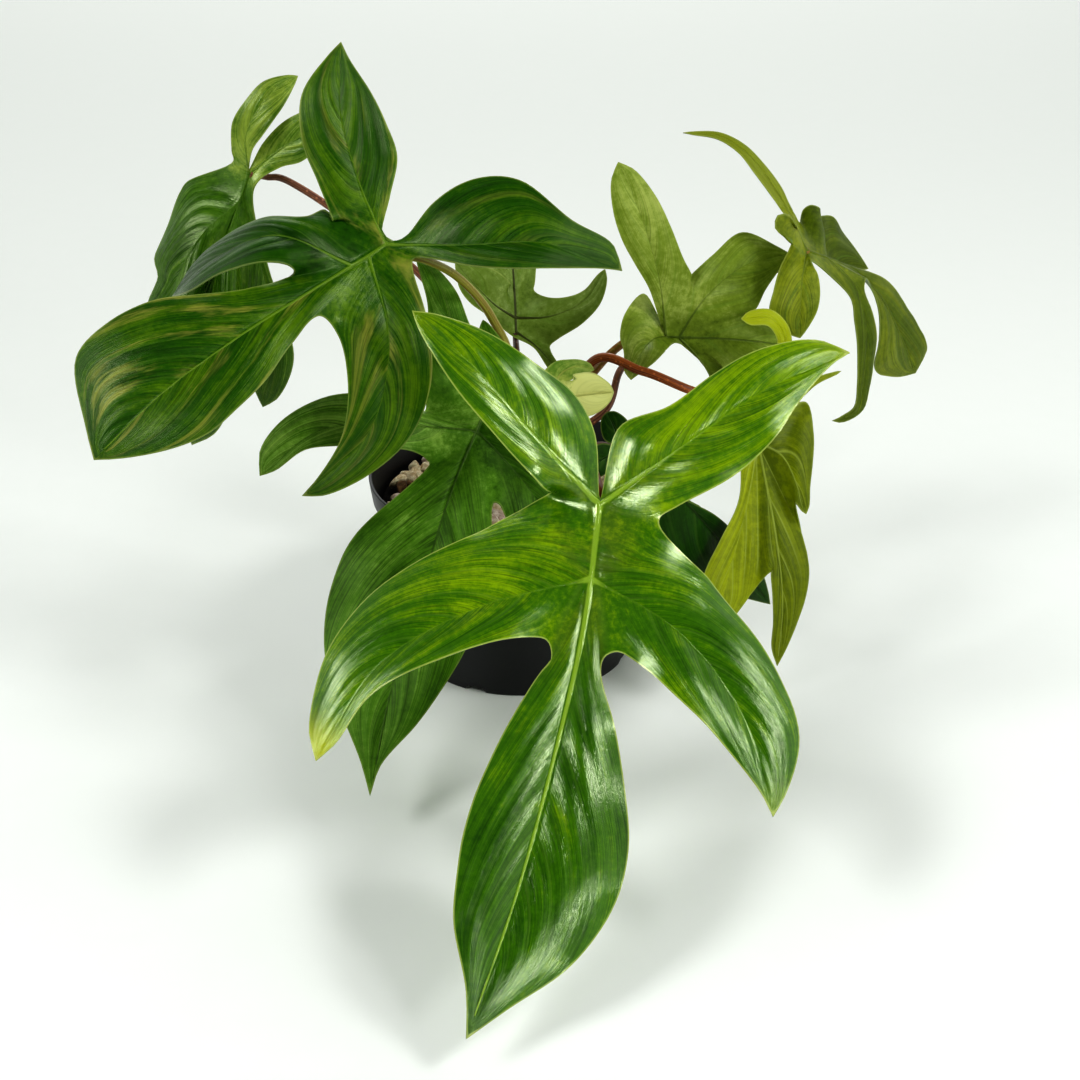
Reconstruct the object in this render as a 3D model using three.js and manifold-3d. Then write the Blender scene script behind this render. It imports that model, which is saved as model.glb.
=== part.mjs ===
// A potted Florida Ghost philodendron: a black nursery pot, potting mix, a short stem,
// and ten leaves on long petioles. Millimetres, +Z up, origin at the middle of the pot's underside.
import * as THREE from 'three';
import { mergeVertices } from 'three/addons/utils/BufferGeometryUtils.js';
import Module from 'manifold-3d';

const wasm = await Module();
wasm.setup();

// Driving dimensions
const POT = {
  height: 85, baseRadius: 50, bodyTopRadius: 62.5, rimRadius: 66, rimDepth: 11, wall: 1.4, sides: 40,
  edge: 1, rimSlope: 1.5, rimRound: 0.7, rimExtra: 0.3,
};
const FOOT_NOTCH = { count: 8, width: 9, height: 2.2, depth: 3 };
const DRAIN_HOLE = { count: 6, radius: 3.5, ringRadius: 34, sides: 8 };
const GAP = 0.3;
const SOIL = { top: 76, edgeDrop: 3, edgeWidth: 8 };
const STEM = { radius: 6, bottom: 42, top: 99, sides: 16, hole: 0.4, chamfer: 2 };
const SCARS = { count: 2, first: 80, spacing: 3.5, groove: 0.5, halfWidth: 0.5 };
const CHIPS = {
  count: 34, size: [5, 7.2], squash: [1, 0.72, 0.6], tilt: 1, ringRadius: 54, start: 0.6, rise: 0.8, seed: 11,
};
const BLADE = {
  thickness: 0.8, rows: 2, midribSteps: 11, lobeSteps: 7, tipStart: 0.96, camber: 0.2, widest: 95,
};
const PETIOLE = {
  sides: 8, steps: 12, footGap: 0.6, footRun: 6, footRise: 1, neck: 6, neckBack: 4, under: 1.1,
};

// The photograph that the leaves are read from: its camera's place and downward pitch in degrees,
// and its focal length and centre in pixels. It looks along +Y.
const VIEW = { eye: [9, -717, 416], pitch: 27, focal: 1800, centre: 540 };

// How finely the readings are followed: points on each vein, steps along its line in the picture,
// the step of a direction along a vein, and the part of the midrib that a bay may belong to
const READING = { midribKnots: 5, lobeKnots: 4, fine: 40, smallStep: 0.02, bayReach: 0.6, bayTries: 61 };

const COLOURS = {
  pot: 0x0b0b0d, soil: 0x6b5440, stem: 0x6a6a2c, petiole: 0x8c4a1c, olivePetiole: 0x7a7426,
  deep: 0x1c5a0c, mid: 0x4f7d2a, olive: 0x6b8a35, lime: 0x8fa022, dark: 0x11300a, cream: 0xd2d58c,
};

function finish(colour, roughness, metalness = 0) {
  return new THREE.MeshStandardMaterial({ color: colour, roughness, metalness });
}

function named(name, geometry, material) {
  const mesh = new THREE.Mesh(geometry, material);
  mesh.name = name;
  return mesh;
}

// Solids that are cut or joined
function toSolid(geometry) {
  const bare = geometry.clone();
  bare.deleteAttribute('normal');
  bare.deleteAttribute('uv');
  const welded = mergeVertices(bare, 1e-4);
  return new wasm.Manifold(new wasm.Mesh({
    numProp: 3,
    vertProperties: new Float32Array(welded.attributes.position.array),
    triVerts: new Uint32Array(welded.index.array),
  }));
}

function toGeometry(solid) {
  const mesh = solid.getMesh();
  const geometry = new THREE.BufferGeometry();
  geometry.setAttribute('position', new THREE.BufferAttribute(new Float32Array(mesh.vertProperties), 3));
  geometry.setIndex(new THREE.BufferAttribute(new Uint32Array(mesh.triVerts), 1));
  return geometry;
}

// A profile of [radius, height] points turned about the Z axis
function turned(profile, sides) {
  const points = profile.map(([radius, height]) => new THREE.Vector2(radius, height));
  return new THREE.LatheGeometry(points, sides).rotateX(Math.PI / 2);
}

// Seeded random numbers, so every build is the same
function randomFrom(seed) {
  const modulus = 2147483647;
  let state = seed;
  return () => {
    state = (state * 16807) % modulus;
    return state / modulus;
  };
}

// The pot: a tapered shell with a deeper rim band, notches in its foot and holes in its floor
const SHOULDER = POT.height - POT.rimDepth;

function bodyRadius(height) {
  return POT.baseRadius + (POT.bodyTopRadius - POT.baseRadius) * (height / SHOULDER);
}

function potGeometry() {
  const { height, wall, rimRadius, baseRadius, bodyTopRadius, sides } = POT;
  const { edge, rimSlope, rimRound, rimExtra } = POT;
  let pot = toSolid(turned([
    [0, 0], [baseRadius - edge, 0], [baseRadius, edge], [bodyTopRadius, SHOULDER - edge / 2],
    [rimRadius - rimSlope, SHOULDER + edge / 2], [rimRadius, height - edge], [rimRadius - rimRound, height],
    [rimRadius - wall - rimExtra, height], [bodyTopRadius - wall, SHOULDER],
    [baseRadius - wall, wall], [0, wall],
  ], sides));
  for (let i = 0; i < FOOT_NOTCH.count; i += 1) {
    const box = new THREE.BoxGeometry(FOOT_NOTCH.depth * 2, FOOT_NOTCH.width, FOOT_NOTCH.height * 2);
    box.translate(baseRadius, 0, 0).rotateZ(((i + 0.5) * 2 * Math.PI) / FOOT_NOTCH.count);
    pot = pot.subtract(toSolid(box));
  }
  for (let i = 0; i < DRAIN_HOLE.count; i += 1) {
    const hole = new THREE.CylinderGeometry(DRAIN_HOLE.radius, DRAIN_HOLE.radius, wall * 4, DRAIN_HOLE.sides);
    hole.rotateX(Math.PI / 2).translate(DRAIN_HOLE.ringRadius, 0, 0);
    hole.rotateZ((i * 2 * Math.PI) / DRAIN_HOLE.count);
    pot = pot.subtract(toSolid(hole));
  }
  return toGeometry(pot);
}

// The potting mix: a filled cone frustum with bark and pumice chips standing out of its top,
// placed along a sunflower spiral
function soilGeometry() {
  const { wall, sides } = POT;
  const brim = SOIL.top - SOIL.edgeDrop;
  const topRadius = bodyRadius(brim) - wall - GAP * 2;
  let soil = toSolid(turned([
    [0, wall + GAP], [POT.baseRadius - wall - GAP * 2, wall + GAP], [topRadius, brim],
    [topRadius - SOIL.edgeWidth, SOIL.top], [0, SOIL.top],
  ], sides));
  const random = randomFrom(CHIPS.seed);
  const tilt = () => (random() - 0.5) * CHIPS.tilt;
  const goldenAngle = Math.PI * (3 - Math.sqrt(5));
  for (let i = 0; i < CHIPS.count; i += 1) {
    const size = THREE.MathUtils.lerp(...CHIPS.size, random());
    const distance = CHIPS.ringRadius * Math.sqrt((i + CHIPS.start) / CHIPS.count);
    const angle = i * goldenAngle;
    const chip = new THREE.IcosahedronGeometry(size, 0);
    chip.scale(...CHIPS.squash).rotateX(tilt()).rotateY(tilt()).rotateZ(random() * 2 * Math.PI);
    chip.translate(distance * Math.cos(angle), distance * Math.sin(angle), SOIL.top + CHIPS.rise);
    soil = soil.add(toSolid(chip));
  }
  const holeRadius = STEM.radius + STEM.hole;
  const holeDepth = STEM.top - STEM.bottom;
  const hole = new THREE.CylinderGeometry(holeRadius, holeRadius, holeDepth, STEM.sides);
  hole.rotateX(Math.PI / 2).translate(0, 0, STEM.bottom - GAP + holeDepth / 2);
  return toGeometry(soil.subtract(toSolid(hole)));
}

// The main stem: short, with a shallow groove at each old leaf scar
function stemGeometry() {
  const { bottom, top, radius, sides, chamfer } = STEM;
  const profile = [[0, bottom], [radius, bottom]];
  for (let i = 0; i < SCARS.count; i += 1) {
    const height = SCARS.first + i * SCARS.spacing;
    profile.push([radius, height], [radius - SCARS.groove, height + SCARS.halfWidth]);
    profile.push([radius, height + SCARS.halfWidth * 2]);
  }
  profile.push([radius, top - chamfer], [radius - chamfer, top], [0, top]);
  return turned(profile, sides);
}

// Vectors from plain triples
const vec = (p) => new THREE.Vector3(p[0], p[1], p[2]);

// A smooth line through evenly spaced points
const smoothLine = (points) => new THREE.CatmullRomCurve3(points, false, 'catmullrom', 0.5);

function interpolate(x, xs, ys) {
  if (x <= xs[0]) return ys[0];
  for (let i = 1; i < xs.length; i += 1) {
    if (x <= xs[i]) return ys[i - 1] + ((ys[i] - ys[i - 1]) * (x - xs[i - 1])) / (xs[i] - xs[i - 1]);
  }
  return ys[ys.length - 1];
}

// The distance run at each point of a chain of vectors
function runningLength(chain) {
  const run = [0];
  for (let k = 1; k < chain.length; k += 1) run.push(run[k - 1] + chain[k].distanceTo(chain[k - 1]));
  return run;
}

// Evenly spaced numbers from start to end
function spread([start, end], count) {
  return Array.from({ length: count }, (_, k) => start + ((end - start) * k) / (count - 1));
}

// The same chain of straight stretches with evenly spaced points
function evenly(chain, count) {
  const run = runningLength(chain);
  return spread([0, run[run.length - 1]], count).map((distance) => new THREE.Vector3(
    interpolate(distance, run, chain.map((p) => p.x)),
    interpolate(distance, run, chain.map((p) => p.y)),
    interpolate(distance, run, chain.map((p) => p.z)),
  ));
}

// From the photograph to space. Each place in the picture is a ray from the camera.
const PITCH = THREE.MathUtils.degToRad(VIEW.pitch);
const AHEAD = new THREE.Vector3(0, Math.cos(PITCH), -Math.sin(PITCH));
const UPWARD = new THREE.Vector3(0, Math.sin(PITCH), Math.cos(PITCH));
const EYE = vec(VIEW.eye);

function rayThrough([u, v]) {
  const ray = AHEAD.clone().addScaledVector(UPWARD, (VIEW.centre - v) / VIEW.focal);
  ray.x += (u - VIEW.centre) / VIEW.focal;
  return ray;
}

// The point that shows at a place in the picture and lies y millimetres back
function atDepth(place, y) {
  const ray = rayThrough(place);
  return EYE.clone().addScaledVector(ray, (y - EYE.y) / ray.y);
}

// How far from the camera a point lies along its view, and where it shows in the picture
const distanceOf = (point) => point.clone().sub(EYE).dot(AHEAD);

function pictured(point) {
  const offset = point.clone().sub(EYE);
  const scale = VIEW.focal / offset.dot(AHEAD);
  return [VIEW.centre + offset.x * scale, VIEW.centre - offset.dot(UPWARD) * scale];
}

// How far along the line from a to b it crosses the stretch from c to d, from 0 to 1, or null
function crossing(a, b, c, d) {
  const r = [b[0] - a[0], b[1] - a[1]];
  const q = [d[0] - c[0], d[1] - c[1]];
  const turn = r[0] * q[1] - r[1] * q[0];
  if (turn === 0) return null;
  const offset = [c[0] - a[0], c[1] - a[1]];
  const onLine = (offset[0] * q[1] - offset[1] * q[0]) / turn;
  const onStretch = (offset[0] * r[1] - offset[1] * r[0]) / turn;
  return onLine >= 0 && onLine <= 1 && onStretch >= 0 && onStretch <= 1 ? onLine : null;
}

// A vein, with the direction that its blade faces at its base and at its tip
class Vein {
  constructor(points, facing) {
    this.curve = smoothLine(points);
    const ends = Array.isArray(facing[0]) ? facing : [facing, facing];
    this.faces = ends.map(vec);
  }

  at(t) {
    return this.curve.getPoint(t);
  }

  face(t) {
    return this.faces[0].clone().lerp(this.faces[1], t).normalize();
  }

  // The direction across the blade, to the right of the vein as seen from above the leaf
  side(t) {
    const { smallStep } = READING;
    const ahead = this.at(Math.min(1, t + smallStep));
    const tangent = ahead.sub(this.at(Math.max(0, t - smallStep))).normalize();
    return tangent.cross(this.face(t)).normalize();
  }
}

// The points of a vein: its line in the picture, set back by its depths and bowed between its ends
function veinPoints(reading, depths, knots) {
  const { fine } = READING;
  const picture = evenly(reading.vein.map(([u, v]) => new THREE.Vector3(u, v, 0)), fine);
  const marks = spread([0, 1], depths.length);
  return evenly(picture.map((place, k) => {
    const s = k / (fine - 1);
    const depth = interpolate(s, marks, depths) + (reading.bow ?? 0) * 4 * s * (1 - s);
    return atDepth([place.x, place.y], depth);
  }), knots);
}

// How far from a vein the outline lies on one side. Equal steps in the picture aren't equal in
// space, so the crossing is corrected by the distances of the line's two ends.
function halfWidth(vein, t, sign, outline) {
  const start = vein.at(t);
  const end = start.clone().addScaledVector(vein.side(t), sign * BLADE.widest);
  const [a, b] = [pictured(start), pictured(end)];
  const hits = [];
  for (let k = 1; k < outline.length; k += 1) {
    const hit = crossing(a, b, outline[k - 1], outline[k]);
    if (hit !== null) hits.push(hit);
  }
  if (hits.length === 0) return null;
  const near = Math.min(...hits) * distanceOf(start);
  const far = (1 - Math.min(...hits)) * distanceOf(end);
  return (BLADE.widest * near) / (near + far);
}

// Places along a vein and the half width at each, on its right or its left side. Widths come from
// the outline in the picture, or in millimetres where the photograph hides the edge.
function halfWidths(vein, reading, side) {
  const span = reading[`${side}Span`] ?? reading.span;
  const given = reading[`${side}Widths`];
  if (given) return { places: spread(span, given.length), widths: given };
  const places = spread(span, reading[`${side}Places`] ?? reading.places);
  const sign = side === 'right' ? 1 : -1;
  const found = places
    .map((t) => [t, halfWidth(vein, t, sign, reading[side])])
    .filter(([, width]) => width !== null);
  const widths = places.map((t) => interpolate(t, found.map(([u]) => u), found.map(([, width]) => width)));
  const tip = reading[`${side}Tip`];
  if (tip) widths[widths.length - 1] = tip;
  return { places, widths };
}

// A point of a bay, set on the blade's plane beside the midrib, or at its own depth
function bayPoint(midrib, [u, v, depth]) {
  if (depth !== undefined) return atDepth([u, v], depth);
  const { bayReach, bayTries } = READING;
  const gapTo = (t) => Math.hypot(pictured(midrib.at(t))[0] - u, pictured(midrib.at(t))[1] - v);
  const near = spread([0, bayReach], bayTries).reduce((best, t) => (gapTo(t) < gapTo(best) ? t : best));
  const normal = midrib.face(near);
  const ray = rayThrough([u, v]);
  return EYE.clone().addScaledVector(ray, midrib.at(near).sub(EYE).dot(normal) / ray.dot(normal));
}

// A leaf in space: its midrib, its lobes in the order in which the margin passes their tips, its bays
function readLeaf(reading) {
  const { midribSteps, lobeSteps, tipStart } = BLADE;
  const { midribKnots, lobeKnots } = READING;
  const main = reading.midrib;
  const mainPoints = veinPoints(main, main.depth, main.knots ?? midribKnots);
  const midrib = new Vein(mainPoints, main.face ?? reading.face);
  const midribPlaces = spread([0, tipStart], midribSteps + 1);
  const lobes = reading.lobes.map((lobe, i) => {
    if (lobe === 'midrib') {
      const sides = { right: halfWidths(midrib, main, 'right'), left: halfWidths(midrib, main, 'left') };
      return { vein: midrib, places: midribPlaces, tag: 'midrib', terminal: true, ...sides };
    }
    const start = midrib.at(lobe.root);
    const points = veinPoints(lobe, [start.y, ...lobe.depth], lobe.knots ?? lobeKnots);
    const vein = new Vein([start, ...points.slice(1)], lobe.face ?? reading.face);
    const root = Math.round((lobe.root * midribSteps) / tipStart);
    const sides = { right: halfWidths(vein, lobe, 'right'), left: halfWidths(vein, lobe, 'left') };
    return { vein, places: spread([0, tipStart], lobeSteps + 1), root, tag: `lobe${i}`, ...sides };
  });
  const bays = reading.bays.map((bay) => bay.map((point) => bayPoint(midrib, point)));
  return { midrib, midribPlaces, lobes, bays };
}

// The way along the veins from one lobe's tip to the next one's
function veinPath(leaf, a, b) {
  const path = [];
  const add = (tag, vein, places, k) => path.push({ key: `${tag}:${k}`, vein, t: places[k], tag });
  const last = (lobe) => lobe.places.length - 1;
  const from = a.terminal ? last(a) : a.root;
  const to = b.terminal ? last(b) : b.root;
  const step = to >= from ? 1 : -1;
  if (!a.terminal) for (let k = last(a); k >= 1; k -= 1) add(a.tag, a.vein, a.places, k);
  for (let k = from; k !== to + step; k += step) add('midrib', leaf.midrib, leaf.midribPlaces, k);
  if (!b.terminal) for (let k = 1; k <= last(b); k += 1) add(b.tag, b.vein, b.places, k);
  return [path[0], ...path, path[path.length - 1]];
}

// Where along a path a place on a lobe's vein lies, as a fractional index
function pathPosition(path, lobe, t) {
  const found = [];
  for (let i = 1; i < path.length - 1; i += 1) {
    if (path[i].tag === lobe.tag) found.push([path[i].t, i]);
  }
  found.sort((p, q) => p[0] - q[0]);
  return interpolate(t, found.map((f) => f[0]), found.map((f) => f[1]));
}

// The margin between two tips: half widths down one lobe, the bay, half widths up the next
function marginArc(a, b, bay, path) {
  const edgePoint = (lobe, sign, { places, widths }, k) => ({
    at: pathPosition(path, lobe, places[k]),
    point: lobe.vein.at(places[k]).addScaledVector(lobe.vein.side(places[k]), sign * widths[k]),
  });
  const down = a.left.places.map((_, k) => edgePoint(a, -1, a.left, k)).reverse();
  const up = b.right.places.map((_, k) => edgePoint(b, 1, b.right, k));
  const before = down[down.length - 1];
  const chain = [before.point, ...bay, up[0].point];
  const run = runningLength(chain);
  const share = (up[0].at - before.at) / run[run.length - 1];
  const between = bay.map((point, k) => ({ at: before.at + share * run[k + 1], point }));
  const tips = [{ at: 0, point: a.vein.at(1) }, { at: path.length - 1, point: b.vein.at(1) }];
  const control = [tips[0], ...down, ...between, ...up, tips[1]];
  const curve = new THREE.CatmullRomCurve3(control.map((c) => c.point), false, 'centripetal');
  const positions = control.map((c) => c.at);
  const order = control.map((_, k) => k);
  return path.map((_, i) => curve.getPoint(interpolate(i, positions, order) / (control.length - 1)));
}

// The middle surface of a leaf: rows of points from the veins out to the margin
function middleSurface(reading) {
  const leaf = readLeaf(reading);
  const points = [];
  const numbers = new Map();
  const triangles = [];
  const rim = [];
  const number = (key, point) => {
    if (!numbers.has(key)) {
      numbers.set(key, points.length);
      points.push(point);
    }
    return numbers.get(key);
  };
  leaf.lobes.forEach((a, i) => {
    const j = (i + 1) % leaf.lobes.length;
    const path = veinPath(leaf, a, leaf.lobes[j]);
    const edge = marginArc(a, leaf.lobes[j], leaf.bays[i], path);
    const columns = path.map((station, s) => {
      const inner = station.vein.at(station.t);
      const face = station.vein.face(station.t);
      const width = edge[s].distanceTo(inner);
      const place = s === 0 ? `tip${i}` : s === path.length - 1 ? `tip${j}` : `${i}:${s}`;
      const column = [number(station.key, inner)];
      for (let row = 1; row <= BLADE.rows; row += 1) {
        const f = row / BLADE.rows;
        const point = inner.clone().lerp(edge[s], f);
        point.addScaledVector(face, BLADE.camber * width * f * (1 - f));
        column.push(number(`${place}:${row}`, point));
      }
      return column;
    });
    for (let s = 1; s < columns.length; s += 1) {
      const [p, q] = [columns[s - 1], columns[s]];
      for (let row = 0; row < BLADE.rows; row += 1) {
        triangles.push([p[row], p[row + 1], q[row + 1]]);
        if (p[row] !== q[row]) triangles.push([p[row], q[row + 1], q[row]]);
      }
      rim.push([p[BLADE.rows], q[BLADE.rows]]);
    }
  });
  return { points, triangles, rim };
}

// A blade of even thickness: two faces split alike, closed along the margin
function bladeGeometry(reading) {
  const { points, triangles, rim } = middleSurface(reading);
  const normals = points.map(() => new THREE.Vector3());
  const triangle = new THREE.Triangle();
  const normal = new THREE.Vector3();
  for (const [a, b, c] of triangles) {
    triangle.set(points[a], points[b], points[c]);
    triangle.getNormal(normal).multiplyScalar(triangle.getArea());
    for (const k of [a, b, c]) normals[k].add(normal);
  }
  const half = BLADE.thickness / 2;
  const count = points.length;
  const position = [];
  for (const side of [half, -half]) {
    points.forEach((point, k) => {
      position.push(...point.clone().addScaledVector(normals[k].clone().normalize(), side).toArray());
    });
  }
  const index = [];
  for (const [a, b, c] of triangles) index.push(a, b, c, a + count, c + count, b + count);
  for (const [a, b] of rim) index.push(b, a, a + count, b, a + count, b + count);
  const geometry = new THREE.BufferGeometry();
  geometry.setAttribute('position', new THREE.Float32BufferAttribute(position, 3));
  geometry.setIndex(index);
  return geometry;
}

// The line of a petiole: out of the stem, along its way in the photograph, and up under its blade
function petioleLine(reading) {
  const { footGap, footRun, footRise, neck, neckBack, under } = PETIOLE;
  const { foot: [azimuth, height], seen, depth } = reading.petiole;
  const angle = THREE.MathUtils.degToRad(azimuth);
  const outward = new THREE.Vector3(Math.cos(angle), Math.sin(angle), 0);
  const start = outward.clone().multiplyScalar(STEM.radius + footGap).setZ(height);
  const out = start.clone().addScaledVector(outward, footRun).setZ(height + footRise);
  const route = seen.map((place, k) => atDepth(place, depth[k]));
  const { midrib } = readLeaf(reading);
  const top = midrib.at(0);
  const facing = midrib.face(0);
  const back = route[route.length - 2].clone().sub(top).normalize();
  const bend = top.clone().addScaledVector(facing, -neck).addScaledVector(back, neckBack);
  const end = top.clone().addScaledVector(facing, -(reading.petiole.under ?? under));
  return [start, out, ...route.slice(1, -1), bend, end];
}

// A round stalk that tapers along a curve
function stalkGeometry(line, [baseRadius, topRadius]) {
  const curve = smoothLine(line);
  const { sides, steps } = PETIOLE;
  const shape = new THREE.Shape();
  for (let i = 0; i < sides; i += 1) {
    const angle = (i * 2 * Math.PI) / sides;
    const [x, y] = [Math.cos(angle), Math.sin(angle)];
    if (i === 0) shape.moveTo(x, y);
    else shape.lineTo(x, y);
  }
  shape.closePath();
  const stalk = new THREE.ExtrudeGeometry(shape, { extrudePath: curve, steps, bevelEnabled: false });
  const position = stalk.attributes.position;
  const point = new THREE.Vector3();
  const centres = curve.getSpacedPoints(steps);
  for (let i = 0; i < position.count; i += 1) {
    point.fromBufferAttribute(position, i);
    let nearest = 0;
    centres.forEach((centre, k) => {
      if (centre.distanceToSquared(point) < centres[nearest].distanceToSquared(point)) nearest = k;
    });
    const radius = baseRadius + ((topRadius - baseRadius) * nearest) / steps;
    point.sub(centres[nearest]).multiplyScalar(radius).add(centres[nearest]);
    position.setXYZ(i, point.x, point.y, point.z);
  }
  return stalk;
}

// The leaves, read by eye from the photograph. `vein` runs from base to tip and `right` and `left` are
// the blade's outline beside it, in pixels. `depth` is how far back the vein lies in millimetres, at
// even places (a lobe starts at the midrib's depth), and `bow` moves its middle. `face` is where the
// blade faces, at the base and the tip where two are given. Half widths are taken at even places along
// `span`, and those whose edge is hidden are in millimetres. `bays` are the points of the margin
// between one lobe and the next, from the first lobe round to the notch; a third number is a depth.
// A petiole's `foot` is its azimuth in degrees and its height on the stem, and `under` its gap to
// the blade.
const LEAVES = [
  {
    name: 'front',
    colour: 'deep',
    face: [0, -0.62, 0.78],
    midrib: {
      vein: [
        [600, 505], [592, 565], [582, 641], [570, 693], [553, 762], [536, 824], [520, 882], [505, 933],
        [492, 974], [480, 1010], [466, 1039],
      ],
      depth: [-135, -280],
      bow: -6,
      span: [0.42, 0.93],
      places: 6,
      right: [
        [540, 673], [528, 691], [508, 723], [483, 774], [464, 825], [456, 872], [453, 911], [456, 952],
        [464, 987], [471, 1006], [471, 1019], [466, 1039],
      ],
      left: [
        [466, 1039], [476, 1027], [496, 1016], [528, 998], [569, 967], [598, 933], [617, 904],
        [626, 872], [630, 831], [625, 790], [618, 745], [610, 703], [604, 681], [601, 668],
      ],
    },
    lobes: [
      {
        root: 0,
        face: [0.25, -0.72, 0.62],
        vein: [[600, 505], [566, 475], [515, 412], [448, 339], [412, 311]],
        depth: [-108],
        bow: -4,
        span: [0.2, 0.93],
        places: 5,
        right: [
          [594, 489], [595, 470], [597, 447], [593, 424], [584, 404], [563, 382], [515, 351],
          [476, 324], [448, 315], [431, 314], [412, 311],
        ],
        left: [[412, 311], [421, 336], [438, 364], [467, 403], [505, 447], [532, 479], [547, 491]],
      },
      {
        root: 0.06,
        face: [-0.25, -0.6, 0.76],
        vein: [[597, 530], [540, 560], [470, 590], [400, 635], [345, 690], [316, 761]],
        depth: [-205],
        bow: 6,
        span: [0.3, 0.93],
        places: 5,
        right: [
          [546, 498], [535, 507], [501, 524], [467, 538], [432, 553], [398, 572], [374, 589],
          [349, 617], [332, 641], [317, 679], [310, 717], [308, 748], [316, 761],
        ],
        leftTip: 3,
        left: [
          [316, 761], [322, 751], [331, 732], [353, 710], [380, 689], [408, 672], [446, 657],
          [480, 646], [508, 639], [532, 637], [546, 640],
        ],
      },
      'midrib',
      {
        root: 0.06,
        face: [0.3, -0.6, 0.74],
        vein: [[598, 524], [640, 560], [690, 620], [735, 690], [765, 760], [773, 817]],
        depth: [-220],
        bow: 6,
        span: [0.3, 0.93],
        places: 5,
        rightSpan: [0.45, 0.93],
        rightPlaces: 4,
        right: [
          [617, 653], [633, 660], [655, 675], [677, 697], [706, 726], [735, 758], [757, 783],
          [768, 809], [773, 817],
        ],
        left: [
          [773, 817], [781, 809], [787, 790], [795, 770], [801, 754], [800, 739], [792, 703],
          [773, 665], [748, 627], [719, 592], [692, 560], [675, 542], [661, 527],
        ],
      },
      {
        root: 0,
        face: [-0.2, -0.72, 0.66],
        vein: [[600, 505], [631, 483], [694, 439], [770, 387], [850, 353]],
        depth: [-100],
        bow: -4,
        span: [0.2, 0.93],
        places: 5,
        right: [
          [661, 515], [675, 508], [694, 499], [723, 483], [751, 462], [774, 441], [788, 422],
          [799, 402], [816, 379], [828, 366], [845, 357], [850, 353],
        ],
        left: [
          [850, 353], [837, 344], [818, 340], [790, 342], [770, 346], [742, 356], [723, 367],
          [703, 381], [675, 402], [655, 419], [646, 417], [636, 416], [617, 429], [608, 448],
          [604, 467], [608, 488],
        ],
      },
    ],
    bays: [
      [[548, 494]],
      [[546, 640], [551, 660], [540, 673]],
      [[601, 672], [605, 657], [617, 652], [633, 660]],
      [[659, 521]],
      [[600, 500]],
    ],
    petiole: {
      colour: 'petiole',
      radii: [2.2, 1.7],
      foot: [-80, 91],
      seen: [[540, 440], [560, 440], [585, 455], [600, 490], [601, 503]],
      depth: [-12, -60, -100, -128, -134],
      under: 1.4,
    },
  },
  {
    name: 'upper_left',
    colour: 'deep',
    face: [0.08, -0.72, 0.69],
    midrib: {
      face: [[0.08, -0.72, 0.69], [-0.1, -0.75, 0.62]],
      vein: [
        [386, 245], [365, 257], [337, 275], [300, 298], [262, 320], [224, 348], [193, 370], [155, 399],
        [120, 430], [94, 460],
      ],
      depth: [-50, -122],
      bow: -5,
      span: [0.4, 0.95],
      places: 6,
      right: [
        [288, 282], [275, 286], [255, 289], [220, 292], [186, 295], [148, 302], [120, 314], [93, 336],
        [74, 359], [76, 379], [83, 413], [90, 448], [94, 460],
      ],
      left: [
        [94, 460], [100, 462], [138, 456], [172, 449], [207, 434], [241, 406], [265, 382], [289, 348],
        [300, 329], [310, 319],
      ],
    },
    lobes: [
      {
        root: 0,
        face: [0.1, -0.85, 0.5],
        vein: [[386, 245], [365, 200], [351, 158], [341, 117], [337, 69], [341, 42]],
        depth: [-15],
        bow: -2,
        span: [0.2, 0.93],
        places: 5,
        right: [
          [379, 231], [380, 220], [389, 200], [396, 172], [398, 145], [396, 133], [389, 128],
          [382, 117], [375, 100], [365, 81], [358, 74], [348, 57], [340, 55], [341, 42],
        ],
        left: [
          [341, 42], [331, 52], [317, 69], [303, 89], [298, 114], [301, 138], [310, 165], [324, 196],
          [329, 208],
        ],
      },
      {
        root: 0.12,
        face: [[0, -0.5, 0.85], [-0.5, -0.2, 0.85]],
        vein: [[352, 265], [310, 238], [265, 234], [225, 250], [195, 276], [172, 297]],
        depth: [-42],
        bow: -10,
        span: [0.25, 0.93],
        places: 5,
        right: [[303, 211], [275, 214], [255, 220], [227, 234], [207, 251], [189, 272], [172, 295]],
        left: [
          [172, 297], [186, 295], [193, 289], [213, 277], [234, 267], [255, 263], [272, 263],
          [288, 267],
        ],
      },
      'midrib',
      {
        root: 0.06,
        face: [0.1, -0.8, 0.6],
        vein: [[380, 252], [385, 300], [390, 350], [385, 400], [360, 450], [330, 480], [302, 496]],
        depth: [-95],
        bow: -8,
        span: [0.3, 0.93],
        places: 5,
        right: [
          [331, 322], [339, 337], [346, 362], [349, 389], [346, 424], [339, 444], [324, 472],
          [306, 491], [302, 496],
        ],
        left: [
          [302, 496], [320, 497], [344, 489], [372, 473], [396, 455], [413, 434], [425, 413],
          [430, 389], [434, 365], [432, 344], [427, 317], [420, 293], [414, 272],
        ],
      },
      {
        root: 0,
        face: [0, -0.75, 0.66],
        vein: [
          [386, 245], [430, 250], [465, 245], [499, 243], [540, 243], [561, 245], [592, 257],
          [622, 271],
        ],
        depth: [-52],
        bow: -6,
        span: [0.18, 0.93],
        places: 5,
        right: [[427, 258], [441, 260], [458, 265], [489, 269], [540, 268], [609, 269], [622, 271]],
        left: [
          [622, 271], [619, 253], [609, 239], [592, 227], [567, 219], [552, 207], [537, 188],
          [510, 176], [482, 176], [458, 184], [434, 203], [413, 231],
        ],
      },
    ],
    bays: [
      [[325, 210]],
      [[292, 275]],
      [[320, 316]],
      [[413, 260]],
      [[397, 245], [382, 238]],
    ],
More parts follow.
